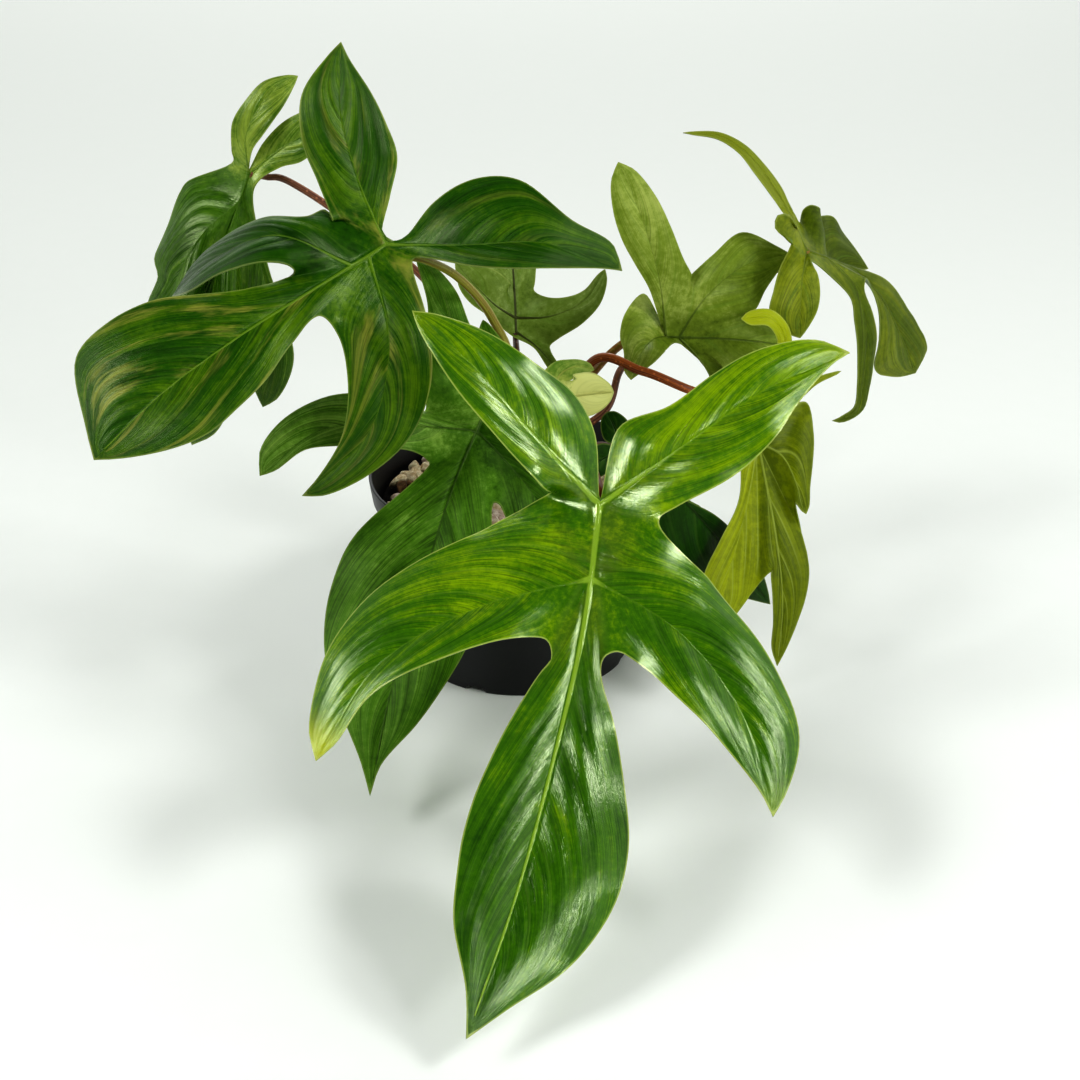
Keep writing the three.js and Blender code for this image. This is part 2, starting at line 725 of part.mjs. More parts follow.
    petiole: {
      colour: 'olivePetiole',
      radii: [2.3, 1.5],
      foot: [-165, 93],
      seen: [[512, 420], [511, 372], [492, 318], [460, 279], [425, 260], [390, 251]],
      depth: [-4, -8, -16, -28, -40, -48],
    },
  },
  {
    name: 'lower_left',
    colour: 'mid',
    face: [0, -0.66, 0.75],
    midrib: {
      vein: [
        [492, 395], [478, 430], [466, 453], [456, 477], [449, 501], [444, 520], [435, 543], [405, 640],
        [380, 730], [370, 796],
      ],
      depth: [-40, -155],
      bow: -4,
      span: [0.42, 0.93],
      places: 6,
      right: [
        [418, 478], [396, 498], [374, 513], [353, 538], [339, 562], [331, 589], [325, 617], [324, 641],
        [325, 658], [335, 695], [345, 722], [353, 737], [360, 755], [363, 779], [370, 796],
      ],
      left: [
        [370, 796], [373, 789], [375, 775], [387, 755], [411, 731], [432, 706], [449, 679], [463, 655],
        [480, 620], [490, 580], [496, 540], [496, 512],
      ],
    },
    lobes: [
      {
        root: 0,
        face: [0.2, -0.8, 0.55],
        vein: [[492, 395], [462, 345], [438, 300], [416, 258]],
        depth: [-18],
        span: [0.25, 0.93],
        places: 4,
        right: [
          [494, 380], [482, 350], [468, 321], [465, 310], [459, 297], [453, 286], [445, 274],
          [435, 265], [416, 258],
        ],
        left: [[416, 258], [419, 272], [425, 290], [430, 320], [425, 360], [424, 385], [430, 405]],
      },
      {
        root: 0.1,
        face: [-0.1, -0.7, 0.7],
        vein: [[478, 430], [430, 428], [370, 424], [310, 432], [275, 450], [260, 476]],
        depth: [-72],
        bow: -2,
        span: [0.3, 0.93],
        places: 5,
        right: [
          [418, 412], [380, 396], [346, 393], [320, 398], [293, 411], [272, 430], [260, 451],
          [257, 468], [260, 476],
        ],
        leftTip: 2.5,
        left: [
          [260, 476], [263, 472], [275, 461], [300, 451], [320, 447], [341, 446], [403, 448],
          [417, 453],
        ],
      },
      'midrib',
      {
        root: 0.1,
        face: [0.2, -0.66, 0.7],
        vein: [[478, 430], [515, 470], [550, 520], [572, 570], [580, 620]],
        depth: [-100],
        bow: 4,
        span: [0.35, 0.93],
        places: 4,
        rightSpan: [0.5, 0.93],
        rightPlaces: 3,
        right: [[507, 515], [520, 560], [545, 600], [570, 618], [580, 620]],
        left: [[580, 620], [592, 590], [590, 540], [570, 500], [548, 470], [525, 440]],
      },
      {
        root: 0,
        face: [0, -0.85, 0.5],
        vein: [[492, 395], [491, 370], [487, 345], [483, 320]],
        depth: [-15],
        span: [0.25, 0.93],
        places: 4,
        right: [[515, 400], [514, 370], [505, 345], [494, 328], [483, 320]],
        left: [[483, 320], [476, 335], [478, 355], [485, 375]],
      },
    ],
    bays: [
      [[425, 411]],
      [[426, 459], [430, 464], [424, 472]],
      [[494, 503], [500, 505]],
      [[517, 415]],
      [[492, 388]],
    ],
    petiole: {
      colour: 'petiole',
      radii: [2, 1.5],
      foot: [-125, 87],
      seen: [[506, 432], [500, 420], [495, 408], [492, 399]],
      depth: [-10, -22, -32, -37],
    },
  },
  {
    name: 'back_left',
    colour: 'deep',
    face: [-0.45, -0.8, 0.3],
    midrib: {
      vein: [
        [249, 174], [232, 192], [213, 217], [196, 247], [185, 280], [178, 330], [180, 390], [192, 445],
      ],
      depth: [30, 8],
      bow: -4,
      span: [0.45, 0.93],
      places: 5,
      right: [[158, 283], [150, 297], [147, 330], [152, 370], [165, 410], [178, 432], [192, 445]],
      left: [
        [192, 445], [205, 442], [213, 435], [223, 425], [235, 400], [240, 370], [236, 330], [228, 300],
      ],
    },
    lobes: [
      {
        root: 0,
        face: [-0.2, -0.9, 0.2],
        vein: [[249, 174], [243, 150], [248, 125], [268, 97], [298, 76]],
        depth: [42],
        bow: -4,
        span: [0.2, 0.93],
        places: 5,
        right: [
          [249, 166], [249, 159], [254, 146], [263, 135], [274, 120], [284, 105], [292, 91], [298, 76],
        ],
        left: [
          [298, 76], [284, 75], [278, 71], [271, 75], [263, 82], [259, 88], [249, 96], [238, 111],
          [231, 126], [230, 140], [233, 160],
        ],
      },
      {
        root: 0.1,
        face: [-0.5, -0.7, 0.45],
        vein: [[238, 186], [205, 198], [180, 225], [165, 250], [155, 274]],
        depth: [5],
        bow: -2,
        span: [0.35, 0.9],
        places: 3,
        right: [
          [233, 163], [223, 168], [210, 174], [196, 178], [186, 183], [180, 194], [175, 206],
          [170, 219], [162, 236], [157, 249], [154, 262], [155, 274],
        ],
        leftSpan: [0.6, 0.9],
        leftPlaces: 2,
        left: [[155, 274], [166, 268], [182, 250], [196, 238], [205, 235]],
      },
      'midrib',
      {
        root: 0.08,
        face: [-0.3, -0.85, 0.2],
        vein: [[243, 182], [252, 230], [268, 290], [278, 350], [263, 407]],
        depth: [24],
        span: [0.35, 0.93],
        places: 4,
        rightSpan: [0.6, 0.93],
        rightPlaces: 3,
        right: [[232, 270], [245, 310], [252, 350], [255, 397], [263, 407]],
        left: [
          [263, 407], [278, 398], [289, 384], [295, 365], [293, 344], [282, 310], [275, 285],
          [268, 265], [256, 217], [253, 191],
        ],
      },
      {
        root: 0,
        face: [0, -0.9, 0.35],
        vein: [[249, 174], [275, 153], [305, 135], [335, 110]],
        depth: [30],
        bow: 4,
        span: [0.25, 0.93],
        places: 4,
        right: [[258, 183], [266, 174], [279, 168], [296, 163], [307, 160], [325, 140], [335, 110]],
        left: [[335, 110], [315, 108], [297, 114], [286, 120], [273, 131], [261, 146], [253, 161]],
      },
    ],
    bays: [
      [[233, 162]],
      [[200, 240]],
      [[225, 290], [226, 275]],
      [[254, 188]],
      [[249, 170]],
    ],
    petiole: {
      colour: 'petiole',
      radii: [2, 1.4],
      foot: [155, 88],
      seen: [[508, 410], [440, 300], [350, 222], [290, 182], [256, 179]],
      depth: [8, 20, 34, 38, 33],
      under: 1.35,
    },
  },
  {
    name: 'back_centre',
    colour: 'olive',
    face: [0.05, -0.92, 0.35],
    midrib: {
      vein: [[516, 332], [515, 300], [513, 268], [510, 232], [503, 195]],
      depth: [60, 92],
      span: [0.5, 0.93],
      places: 4,
      right: [[532, 272], [538, 258], [540, 240], [530, 215], [503, 195]],
      left: [[503, 195], [484, 215], [478, 240], [484, 262], [490, 272]],
    },
    lobes: [
      {
        root: 0,
        face: [0.1, -0.9, 0.3],
        vein: [[516, 332], [535, 345], [553, 365], [566, 390]],
        depth: [52],
        bow: -2,
        span: [0.3, 0.93],
        places: 3,
        right: [[524, 335], [531, 344], [539, 356], [546, 365], [555, 380], [566, 390]],
        leftSpan: [0.5, 0.93],
        leftPlaces: 2,
        left: [[566, 390], [572, 375], [562, 360], [555, 355], [548, 350]],
      },
      {
        root: 0.1,
        vein: [[516, 327], [545, 318], [575, 308], [597, 290], [605, 269]],
        depth: [68],
        bow: -4,
        span: [0.35, 0.93],
        places: 4,
        right: [
          [556, 340], [573, 330], [586, 321], [596, 311], [604, 297], [607, 286], [607, 270],
          [605, 269],
        ],
        leftTip: 1.5,
        left: [[605, 269], [604, 274], [596, 283], [581, 292], [567, 297], [551, 298], [539, 295]],
      },
      'midrib',
      {
        root: 0.1,
        vein: [[515, 325], [495, 305], [475, 285], [455, 262]],
        depth: [70],
        bow: -2,
        span: [0.35, 0.93],
        places: 4,
        rightWidths: [12, 12, 9, 4],
        left: [
          [455, 262], [456, 275], [459, 285], [462, 298], [477, 307], [490, 318], [502, 326],
          [509, 333],
        ],
      },
    ],
    bays: [
      [[550, 346]],
      [[534, 290], [535, 282]],
      [[487, 268]],
      [[512, 336]],
    ],
    petiole: {
      colour: 'olivePetiole',
      radii: [1.9, 1.4],
      foot: [95, 91],
      seen: [[519, 420], [518, 390], [517, 360], [516, 338]],
      depth: [10, 28, 46, 56],
      under: 1.5,
    },
  },
  {
    name: 'right_centre',
    colour: 'olive',
    face: [-0.15, -0.8, 0.55],
    midrib: {
      vein: [[666, 337], [705, 338], [745, 340], [788, 346]],
      depth: [20, 22],
      bow: -3,
      span: [0.5, 0.93],
      places: 4,
      right: [[712, 376], [725, 380], [745, 376], [770, 364], [788, 346]],
      leftSpan: [0.78, 0.93],
      leftPlaces: 2,
      left: [[788, 346], [782, 332], [770, 320], [757, 313], [750, 312]],
    },
    lobes: [
      {
        root: 0,
        face: [-0.35, -0.85, 0.3],
        vein: [[666, 337], [655, 338], [643, 348], [631, 380]],
        depth: [-8],
        bow: -6,
        span: [0.3, 0.93],
        places: 4,
        right: [
          [661, 325], [655, 307], [643, 292], [634, 304], [621, 318], [620, 339], [624, 349],
          [624, 364], [625, 373], [631, 380],
        ],
        left: [[631, 380], [638, 375], [647, 368], [656, 361], [666, 350], [675, 341]],
      },
      {
        root: 0.1,
        vein: [[675, 337], [700, 360], [722, 390], [735, 425]],
        depth: [5],
        span: [0.35, 0.93],
        places: 4,
        right: [[680, 345], [687, 348], [698, 358], [706, 369], [710, 376], [718, 405], [735, 425]],
        leftSpan: [0.55, 0.93],
        leftPlaces: 3,
        left: [[735, 425], [748, 405], [748, 388], [738, 370], [725, 360]],
      },
      'midrib',
      {
        root: 0.1,
        vein: [[674, 334], [700, 303], [737, 268], [790, 254]],
        depth: [32],
        bow: -2,
        span: [0.35, 0.93],
        places: 4,
        rightSpan: [0.55, 0.93],
        rightPlaces: 3,
        right: [[750, 312], [756, 309], [764, 292], [772, 280], [778, 272], [790, 254]],
        left: [
          [790, 254], [786, 251], [772, 244], [761, 239], [750, 232], [740, 233], [728, 242],
          [715, 253], [702, 266],
        ],
      },
      {
        root: 0,
        vein: [[666, 337], [661, 285], [650, 245], [638, 205], [618, 162]],
        depth: [24],
        bow: -2,
        span: [0.28, 0.93],
        places: 5,
        rightSpan: [0.42, 0.93],
        rightPlaces: 4,
        right: [
          [688, 271], [684, 261], [678, 242], [669, 223], [661, 206], [652, 189], [642, 176],
          [631, 167], [618, 162],
        ],
        left: [
          [618, 162], [612, 167], [611, 186], [612, 205], [615, 219], [619, 234], [628, 251],
          [639, 271], [651, 292], [657, 307],
        ],
      },
    ],
    bays: [
      [[678, 343]],
      [[728, 366]],
      [[748, 312]],
      [[691, 274]],
      [[661, 328], [655, 309], [644, 294]],
    ],
    petiole: {
      colour: 'petiole',
      radii: [2, 1.5],
      foot: [28, 92],
      seen: [[560, 440], [604, 412], [622, 368], [660, 341]],
      depth: [8, 12, 18, 22],
    },
  },
  {
    name: 'far_right',
    colour: 'olive',
    face: [0.3, -0.5, 0.8],
    midrib: {
      face: [[0.1, -0.5, 0.85], [0.45, -0.85, 0.2]],
      vein: [[806, 250], [838, 262], [868, 278], [888, 308], [900, 342], [906, 374]],
      depth: [15, 52],
      bow: 2,
      span: [0.5, 0.93],
      places: 5,
      right: [
        [868, 284], [872, 296], [876, 310], [878, 330], [877, 350], [872, 368], [888, 375], [906, 374],
      ],
      left: [
        [906, 374], [920, 366], [924, 354], [919, 337], [909, 317], [899, 296], [892, 283], [878, 273],
        [864, 266],
      ],
    },
    lobes: [
      {
        root: 0,
        face: [[0.1, -0.8, 0.6], [0.1, -0.95, 0.1]],
        vein: [[806, 250], [802, 279], [800, 305], [800, 338]],
        depth: [2],
        bow: -3,
        span: [0.25, 0.93],
        places: 4,
        right: [
          [788, 246], [785, 254], [778, 273], [772, 295], [769, 312], [774, 325], [790, 335],
          [800, 338],
        ],
        left: [[800, 338], [808, 328], [816, 314], [820, 298], [820, 281], [815, 267], [806, 259]],
      },
      {
        root: 0.12,
        face: [[0.5, -0.7, 0.5], [0.6, -0.75, 0.1]],
        vein: [
          [812, 253], [845, 270], [860, 295], [867, 335], [864, 375], [857, 403], [848, 420],
          [832, 421],
        ],
        depth: [2],
        bow: 2,
        knots: 9,
        span: [0.3, 0.95],
        rightWidths: [5, 6, 6, 5, 4, 2.5, 1],
        leftWidths: [4, 5, 6, 5, 4, 2.5, 1],
      },
      'midrib',
      {
        root: 0.12,
        face: [-0.1, -0.82, 0.56],
        vein: [[812, 250], [828, 258], [848, 264], [868, 269]],
        depth: [44],
        bow: 3,
        span: [0.3, 0.93],
        places: 5,
        rightWidths: [2.5, 3, 2.5, 2, 1],
        left: [
          [868, 269], [864, 264], [861, 256], [851, 239], [837, 225], [822, 210], [810, 204],
          [800, 208],
        ],
      },
      {
        root: 0,
        face: [0.4, -0.6, 0.7],
        vein: [
          [806, 250], [795, 224], [783, 202], [770, 182], [757, 163], [742, 148], [722, 137],
          [703, 132], [683, 133],
        ],
        depth: [40],
        bow: 4,
        knots: 6,
        span: [0.22, 0.95],
        rightWidths: [2.5, 3.5, 3, 3, 2, 0.8],
        leftWidths: [2.5, 4, 4.5, 3, 2, 0.8],
      },
    ],
    bays: [
      [[811, 261, 10]],
      [[866, 279, 20]],
      [[866, 271, 34]],
      [[800, 228, 34], [804, 212, 38]],
      [[797, 228, 9], [788, 214, 6], [777, 216, 4], [775, 228, 4], [783, 236, 6], [792, 240, 9]],
    ],
    petiole: {
      colour: 'olivePetiole',
      radii: [2.2, 1.5],
      foot: [58, 85],
      seen: [[545, 415], [610, 354], [690, 312], [760, 276], [804, 254]],
      depth: [12, 28, 40, 44, 20],
      under: 1.25,
    },
  },
  {
    name: 'hanging_right',
    colour: 'lime',
    face: [0.25, -0.95, 0.15],
    midrib: {
      vein: [[752, 412], [761, 458], [768, 491], [776, 538], [781, 580], [783, 620], [777, 666]],
      depth: [-20, -62],
      bow: -4,
      span: [0.62, 0.93],
      places: 4,
      right: [[771, 571], [771, 586], [773, 603], [773, 621], [773, 642], [770, 656], [777, 666]],
      left: [
        [777, 666], [787, 647], [796, 626], [804, 603], [808, 583], [810, 571], [807, 558], [801, 543],
        [800, 530],
      ],
    },
    lobes: [
      {
        root: 0,
        face: [[0.1, -0.9, 0.4], [-0.1, -0.8, 0.6]],
        vein: [
          [752, 412], [768, 388], [781, 358], [786, 336], [779, 322], [765, 316], [751, 315],
          [741, 319],
        ],
        depth: [-30],
        bow: -4,
        knots: 6,
        span: [0.3, 0.95],
        rightWidths: [5, 4, 3, 3.2, 3.4, 2.8],
        leftWidths: [6, 4, 3, 3.2, 3.4, 2.8],
      },
      {
        root: 0.12,
        vein: [[758, 440], [748, 500], [732, 560], [712, 645]],
        depth: [-64],
        span: [0.3, 0.93],
        places: 4,
        right: [
          [749, 470], [748, 477], [744, 488], [735, 508], [724, 530], [713, 557], [704, 572],
          [698, 610], [712, 645],
        ],
        leftSpan: [0.74, 0.93],
        leftPlaces: 2,
        left: [[712, 645], [728, 625], [737, 611], [744, 603], [752, 593], [763, 581]],
      },
      'midrib',
      {
        root: 0.12,
        vein: [[758, 440], [782, 455], [797, 485], [806, 514]],
        depth: [-44],
        bow: -2,
        span: [0.35, 0.93],
        places: 4,
        rightSpan: [0.85, 0.95],
        rightWidths: [3, 1.5],
        left: [
          [806, 514], [809, 508], [809, 496], [811, 479], [813, 460], [813, 447], [814, 427],
          [811, 412], [807, 399],
        ],
      },
      {
        root: 0,
        vein: [[752, 412], [785, 395], [812, 382], [841, 371]],
        depth: [-20],
        bow: -3,
        span: [0.25, 0.95],
        rightWidths: [6, 5, 1.8, 0.6],
        leftWidths: [6, 5, 1.8, 0.6],
      },
    ],
    bays: [
      [[742, 440]],
      [[768, 574], [772, 571]],
      [[800, 526]],
      [[806, 402]],
      [[757, 404]],
    ],
    petiole: {
      colour: 'petiole',
      radii: [2.2, 1.9],
      foot: [-8, 85],
      seen: [[545, 430], [590, 364], [642, 371], [690, 390], [748, 411]],
      depth: [2, -6, -14, -18, -18],
    },
  },
  {
    name: 'low_right',
    colour: 'dark',
    face: [0.2, -0.93, 0.3],
    midrib: {
      vein: [[622, 448], [660, 476], [700, 518], [740, 565], [770, 604]],
      depth: [-28, -44, -42, -28, -14],
      span: [0.45, 0.93],
      places: 5,
      right: [[655, 530], [668, 560], [700, 585], [748, 599], [770, 604]],
      left: [[770, 604], [765, 575], [745, 545], [726, 523], [707, 509], [692, 500]],
    },
    lobes: [
      {
        root: 0,
        vein: [[622, 448], [600, 460], [572, 478]],
        depth: [-42],
        knots: 3,
        span: [0.3, 0.93],
        rightWidths: [6, 6, 2],
        leftWidths: [6, 6, 2],
      },
      {
        root: 0.1,
        vein: [[630, 455], [640, 500], [646, 550]],
        depth: [-78],
        knots: 3,
        span: [0.35, 0.93],
        rightWidths: [10, 9, 6, 2],
        leftWidths: [9, 9, 6, 2],
      },
      'midrib',
      {
        root: 0.1,
        vein: [[630, 455], [680, 458], [718, 470]],
        depth: [-34],
        knots: 3,
        span: [0.35, 0.93],
        rightWidths: [8, 8, 6, 2],
        leftWidths: [9, 9, 6, 2],
      },
      {
        root: 0,
        vein: [[622, 448], [616, 430], [607, 412]],
        depth: [-18],
        knots: 3,
        span: [0.3, 0.93],
        rightWidths: [6, 6, 3],
        leftWidths: [6, 6, 3],
      },
    ],
    bays: [
      [[610, 470]],
      [[650, 520]],
      [[672, 490]],
      [[640, 446]],
      [[616, 446]],
    ],
    petiole: {
      colour: 'petiole',
      radii: [1.9, 1.4],
      foot: [-38, 89],
      seen: [[555, 450], [590, 447], [618, 449]],
      depth: [-6, -16, -24],
    },
  },
  {
    name: 'small_cream',
    colour: 'cream',
    face: [0.05, -0.85, 0.5],
    midrib: {
      vein: [[556, 400], [580, 395], [614, 392]],
      depth: [-30, -38],
      knots: 3,
      span: [0.35, 0.95],
      places: 6,
      right: [[568, 418], [590, 416], [602, 411], [608, 404], [613, 398], [614, 392]],
      left: [[614, 392], [612, 386], [604, 379], [598, 375], [592, 372], [578, 373], [560, 380]],
    },
    lobes: [
      'midrib',
      {
        root: 0.1,
        vein: [[560, 399], [556, 382], [562, 370], [576, 366], [594, 370]],
        depth: [-24],
        span: [0.3, 0.93],
        places: 5,
        rightWidths: [4, 4.5, 4.5, 3.5, 1.5],
        left: [[594, 370], [590, 363], [578, 359], [560, 360], [549, 364], [541, 370], [540, 382]],
      },
    ],
    bays: [
      [[576, 379]],
      [[542, 392], [556, 412]],
    ],
    petiole: {
      colour: 'olivePetiole',
      radii: [1.5, 1.1],
      foot: [-58, 95],
      seen: [[528, 430], [540, 415], [555, 402]],
      depth: [-12, -20, -27],
      under: 0.65,
    },
  },
];

const plant = new THREE.Group();
plant.add(named('pot', potGeometry(), finish(COLOURS.pot, 0.45)));
plant.add(named('soil', soilGeometry(), finish(COLOURS.soil, 0.95)));
plant.add(named('stem', stemGeometry(), finish(COLOURS.stem, 0.6)));
for (const leaf of LEAVES) {
  const { radii, colour } = leaf.petiole;
  const stalk = stalkGeometry(petioleLine(leaf), radii);
  plant.add(named(`leaf_${leaf.name}`, bladeGeometry(leaf), finish(COLOURS[leaf.colour], 0.35)));
  plant.add(named(`petiole_${leaf.name}`, stalk, finish(COLOURS[colour], 0.45)));
}

export default plant;
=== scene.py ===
# %% [markdown]
# # A potted Florida Ghost philodendron
#
# This lesson dresses a house plant: a black nursery pot, bark and pumice, a short stem and ten
# leaves on long stalks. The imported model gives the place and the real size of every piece. Each
# plain solid is then replaced by a finer mesh of the same form, with a finish made of nodes.

# %% Load the fixed frame
import math
import random
import bmesh
import bpy
import numpy as np
from mathutils.kdtree import KDTree
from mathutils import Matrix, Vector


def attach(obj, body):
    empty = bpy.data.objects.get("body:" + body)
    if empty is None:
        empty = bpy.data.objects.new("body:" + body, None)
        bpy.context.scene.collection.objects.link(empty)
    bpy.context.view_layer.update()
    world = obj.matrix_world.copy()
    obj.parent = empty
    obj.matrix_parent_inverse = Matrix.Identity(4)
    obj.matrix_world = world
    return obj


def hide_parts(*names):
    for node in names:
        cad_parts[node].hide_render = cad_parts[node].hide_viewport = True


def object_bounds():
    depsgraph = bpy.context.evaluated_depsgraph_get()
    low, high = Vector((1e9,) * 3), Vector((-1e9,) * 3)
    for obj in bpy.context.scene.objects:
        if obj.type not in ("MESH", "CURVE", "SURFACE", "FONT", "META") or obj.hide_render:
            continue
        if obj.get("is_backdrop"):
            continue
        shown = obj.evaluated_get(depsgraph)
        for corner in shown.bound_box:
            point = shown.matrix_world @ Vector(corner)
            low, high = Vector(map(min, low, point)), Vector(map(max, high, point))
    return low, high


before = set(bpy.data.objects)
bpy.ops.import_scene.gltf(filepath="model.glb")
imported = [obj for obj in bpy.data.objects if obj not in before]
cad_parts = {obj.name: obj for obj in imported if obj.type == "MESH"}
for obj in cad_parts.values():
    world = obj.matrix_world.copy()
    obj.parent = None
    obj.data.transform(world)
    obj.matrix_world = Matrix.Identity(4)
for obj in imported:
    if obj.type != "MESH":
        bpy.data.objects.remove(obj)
cad_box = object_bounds()
MM = 0.001
print("frame nodes:", len(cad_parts), "box:", [[round(v, 3) for v in corner] for corner in cad_box])

# %% [markdown]
# ## The camera
#
# The photograph was taken from a little above, with the biggest leaf reaching out towards the
# lens. The pot's rim shows as an ellipse, and the ratio of its two axes gives the pitch. A lens
# could be matched by eye, but the pot's known width and height fix its distance and focal length.

# %% Place the camera
CAMERA_PLACE = (0.009, -0.717, 0.416)
CAMERA_PITCH = math.radians(27)
CAMERA_LENS = 60.0
CAMERA_SENSOR = 36.0

camera_data = bpy.data.cameras.new("camera")
camera_data.lens = CAMERA_LENS
camera_data.sensor_width = CAMERA_SENSOR
camera = bpy.data.objects.new("camera", camera_data)
camera.location = CAMERA_PLACE
camera.rotation_euler = (math.pi / 2 - CAMERA_PITCH, 0, 0)
bpy.context.collection.objects.link(camera)
bpy.context.scene.camera = camera
print("camera pitch:", round(math.degrees(CAMERA_PITCH), 1), "degrees, lens:", CAMERA_LENS, "mm")

# %% [markdown]
# ## The studio's light
#
# The plant stands in a white studio. A waxy leaf mirrors whatever lights it. In the photograph the
# places that mirror the ceiling are dark and rich, and the ones that mirror the left and the right
# side shine. So the walls are pale, the ceiling is dim and the room is darker behind the camera. An
# even white world would turn the leaves milky, because it is mirrored everywhere.

# %% The room
WALL_LIGHT, CEILING_LIGHT = (0.76, 0.78, 0.755, 1), (0.12, 0.13, 0.12, 1)
WALL_TOP, CEILING_START = 0.45, 0.85
BEHIND_CAMERA, BESIDE_PLANT, DARK_SHARE = -0.7, -0.1, 0.3

scene = bpy.context.scene
scene.view_settings.view_transform = "Standard"
scene.view_settings.look = "High Contrast"
world = bpy.data.worlds.new("studio")
scene.world = world
world.use_nodes = True
room_nodes, room_links = world.node_tree.nodes, world.node_tree.links
direction = room_nodes.new("ShaderNodeTexCoord")
heading = room_nodes.new("ShaderNodeSeparateXYZ")
room_links.new(direction.outputs["Generated"], heading.inputs["Vector"])


def climb(axis, low, high, at_low=0.0):
    """Rises smoothly to one while the direction's share of an axis goes from low to high."""
    node = room_nodes.new("ShaderNodeMapRange")
    node.interpolation_type = "SMOOTHSTEP"
    node.inputs["From Min"].default_value = low
    node.inputs["From Max"].default_value = high
    node.inputs["To Min"].default_value = at_low
    room_links.new(heading.outputs[axis], node.inputs["Value"])
    return node.outputs["Result"]


walls_to_ceiling = room_nodes.new("ShaderNodeMix")
walls_to_ceiling.data_type = "RGBA"
walls_to_ceiling.inputs[6].default_value = WALL_LIGHT
walls_to_ceiling.inputs[7].default_value = CEILING_LIGHT
room_links.new(climb("Z", WALL_TOP, CEILING_START), walls_to_ceiling.inputs[0])
room_links.new(walls_to_ceiling.outputs[2], room_nodes["Background"].inputs["Color"])
room_strength = climb("Y", BEHIND_CAMERA, BESIDE_PLANT, DARK_SHARE)
room_links.new(room_strength, room_nodes["Background"].inputs["Strength"])
print("room nodes:", len(room_nodes))

# %% [markdown]
# ## Soft boxes
#
# Three soft boxes make the sheen: one on the left, one on the right and a small low one in front. A
# fourth lights the sweep behind the plant. Bigger boxes would give softer shadows, but on wax each
# box is seen as a mirrored patch, so its size sets how much of a leaf goes white.

# %% Lamps
PLANT_MIDDLE = (0.0, -0.08, 0.13)
BOX_DISTANCE = 1.6
SWEEP_LAMP, SWEEP_MIDDLE = (0.0, 2.60, 2.20), (0.0, 2.30, 0.0)


def soft_box(name, place, target, size, power):
    data = bpy.data.lights.new(name, "AREA")
    data.shape = "RECTANGLE"
    data.size, data.size_y = size
    data.energy = power
    lamp = bpy.data.objects.new(name, data)
    lamp.location = place
    away = np.array(place) - np.array(target)
    distance = float(np.linalg.norm(away))
    lamp.rotation_euler = (math.acos(away[2] / distance), 0, math.atan2(away[1], away[0]) + math.pi / 2)
    bpy.context.collection.objects.link(lamp)


def around_plant(azimuth, elevation):
    """A place for a lamp: azimuth in degrees from the camera's side to the right, and elevation."""
    a, e = math.radians(azimuth), math.radians(elevation)
    offset = np.array([math.sin(a) * math.cos(e), -math.cos(a) * math.cos(e), math.sin(e)]) * BOX_DISTANCE
    return tuple(np.array(PLANT_MIDDLE) + offset)


soft_box("left_box", around_plant(-52, 44), PLANT_MIDDLE, (0.45, 0.35), 7.5)
soft_box("right_box", around_plant(66, 46), PLANT_MIDDLE, (0.42, 0.32), 6.4)
soft_box("front_box", around_plant(33, 20), PLANT_MIDDLE, (0.24, 0.20), 4.5)
soft_box("sweep_box", SWEEP_LAMP, SWEEP_MIDDLE, (2.4, 1.0), 24.0)

# %% [markdown]
# ## A small kit for materials
#
# Every finish below is a tree of nodes. Written out in full, each would be a page long, so this
# class gives each kind of node a short name. Its methods return sockets, which can be nested.

# %% Shader kit


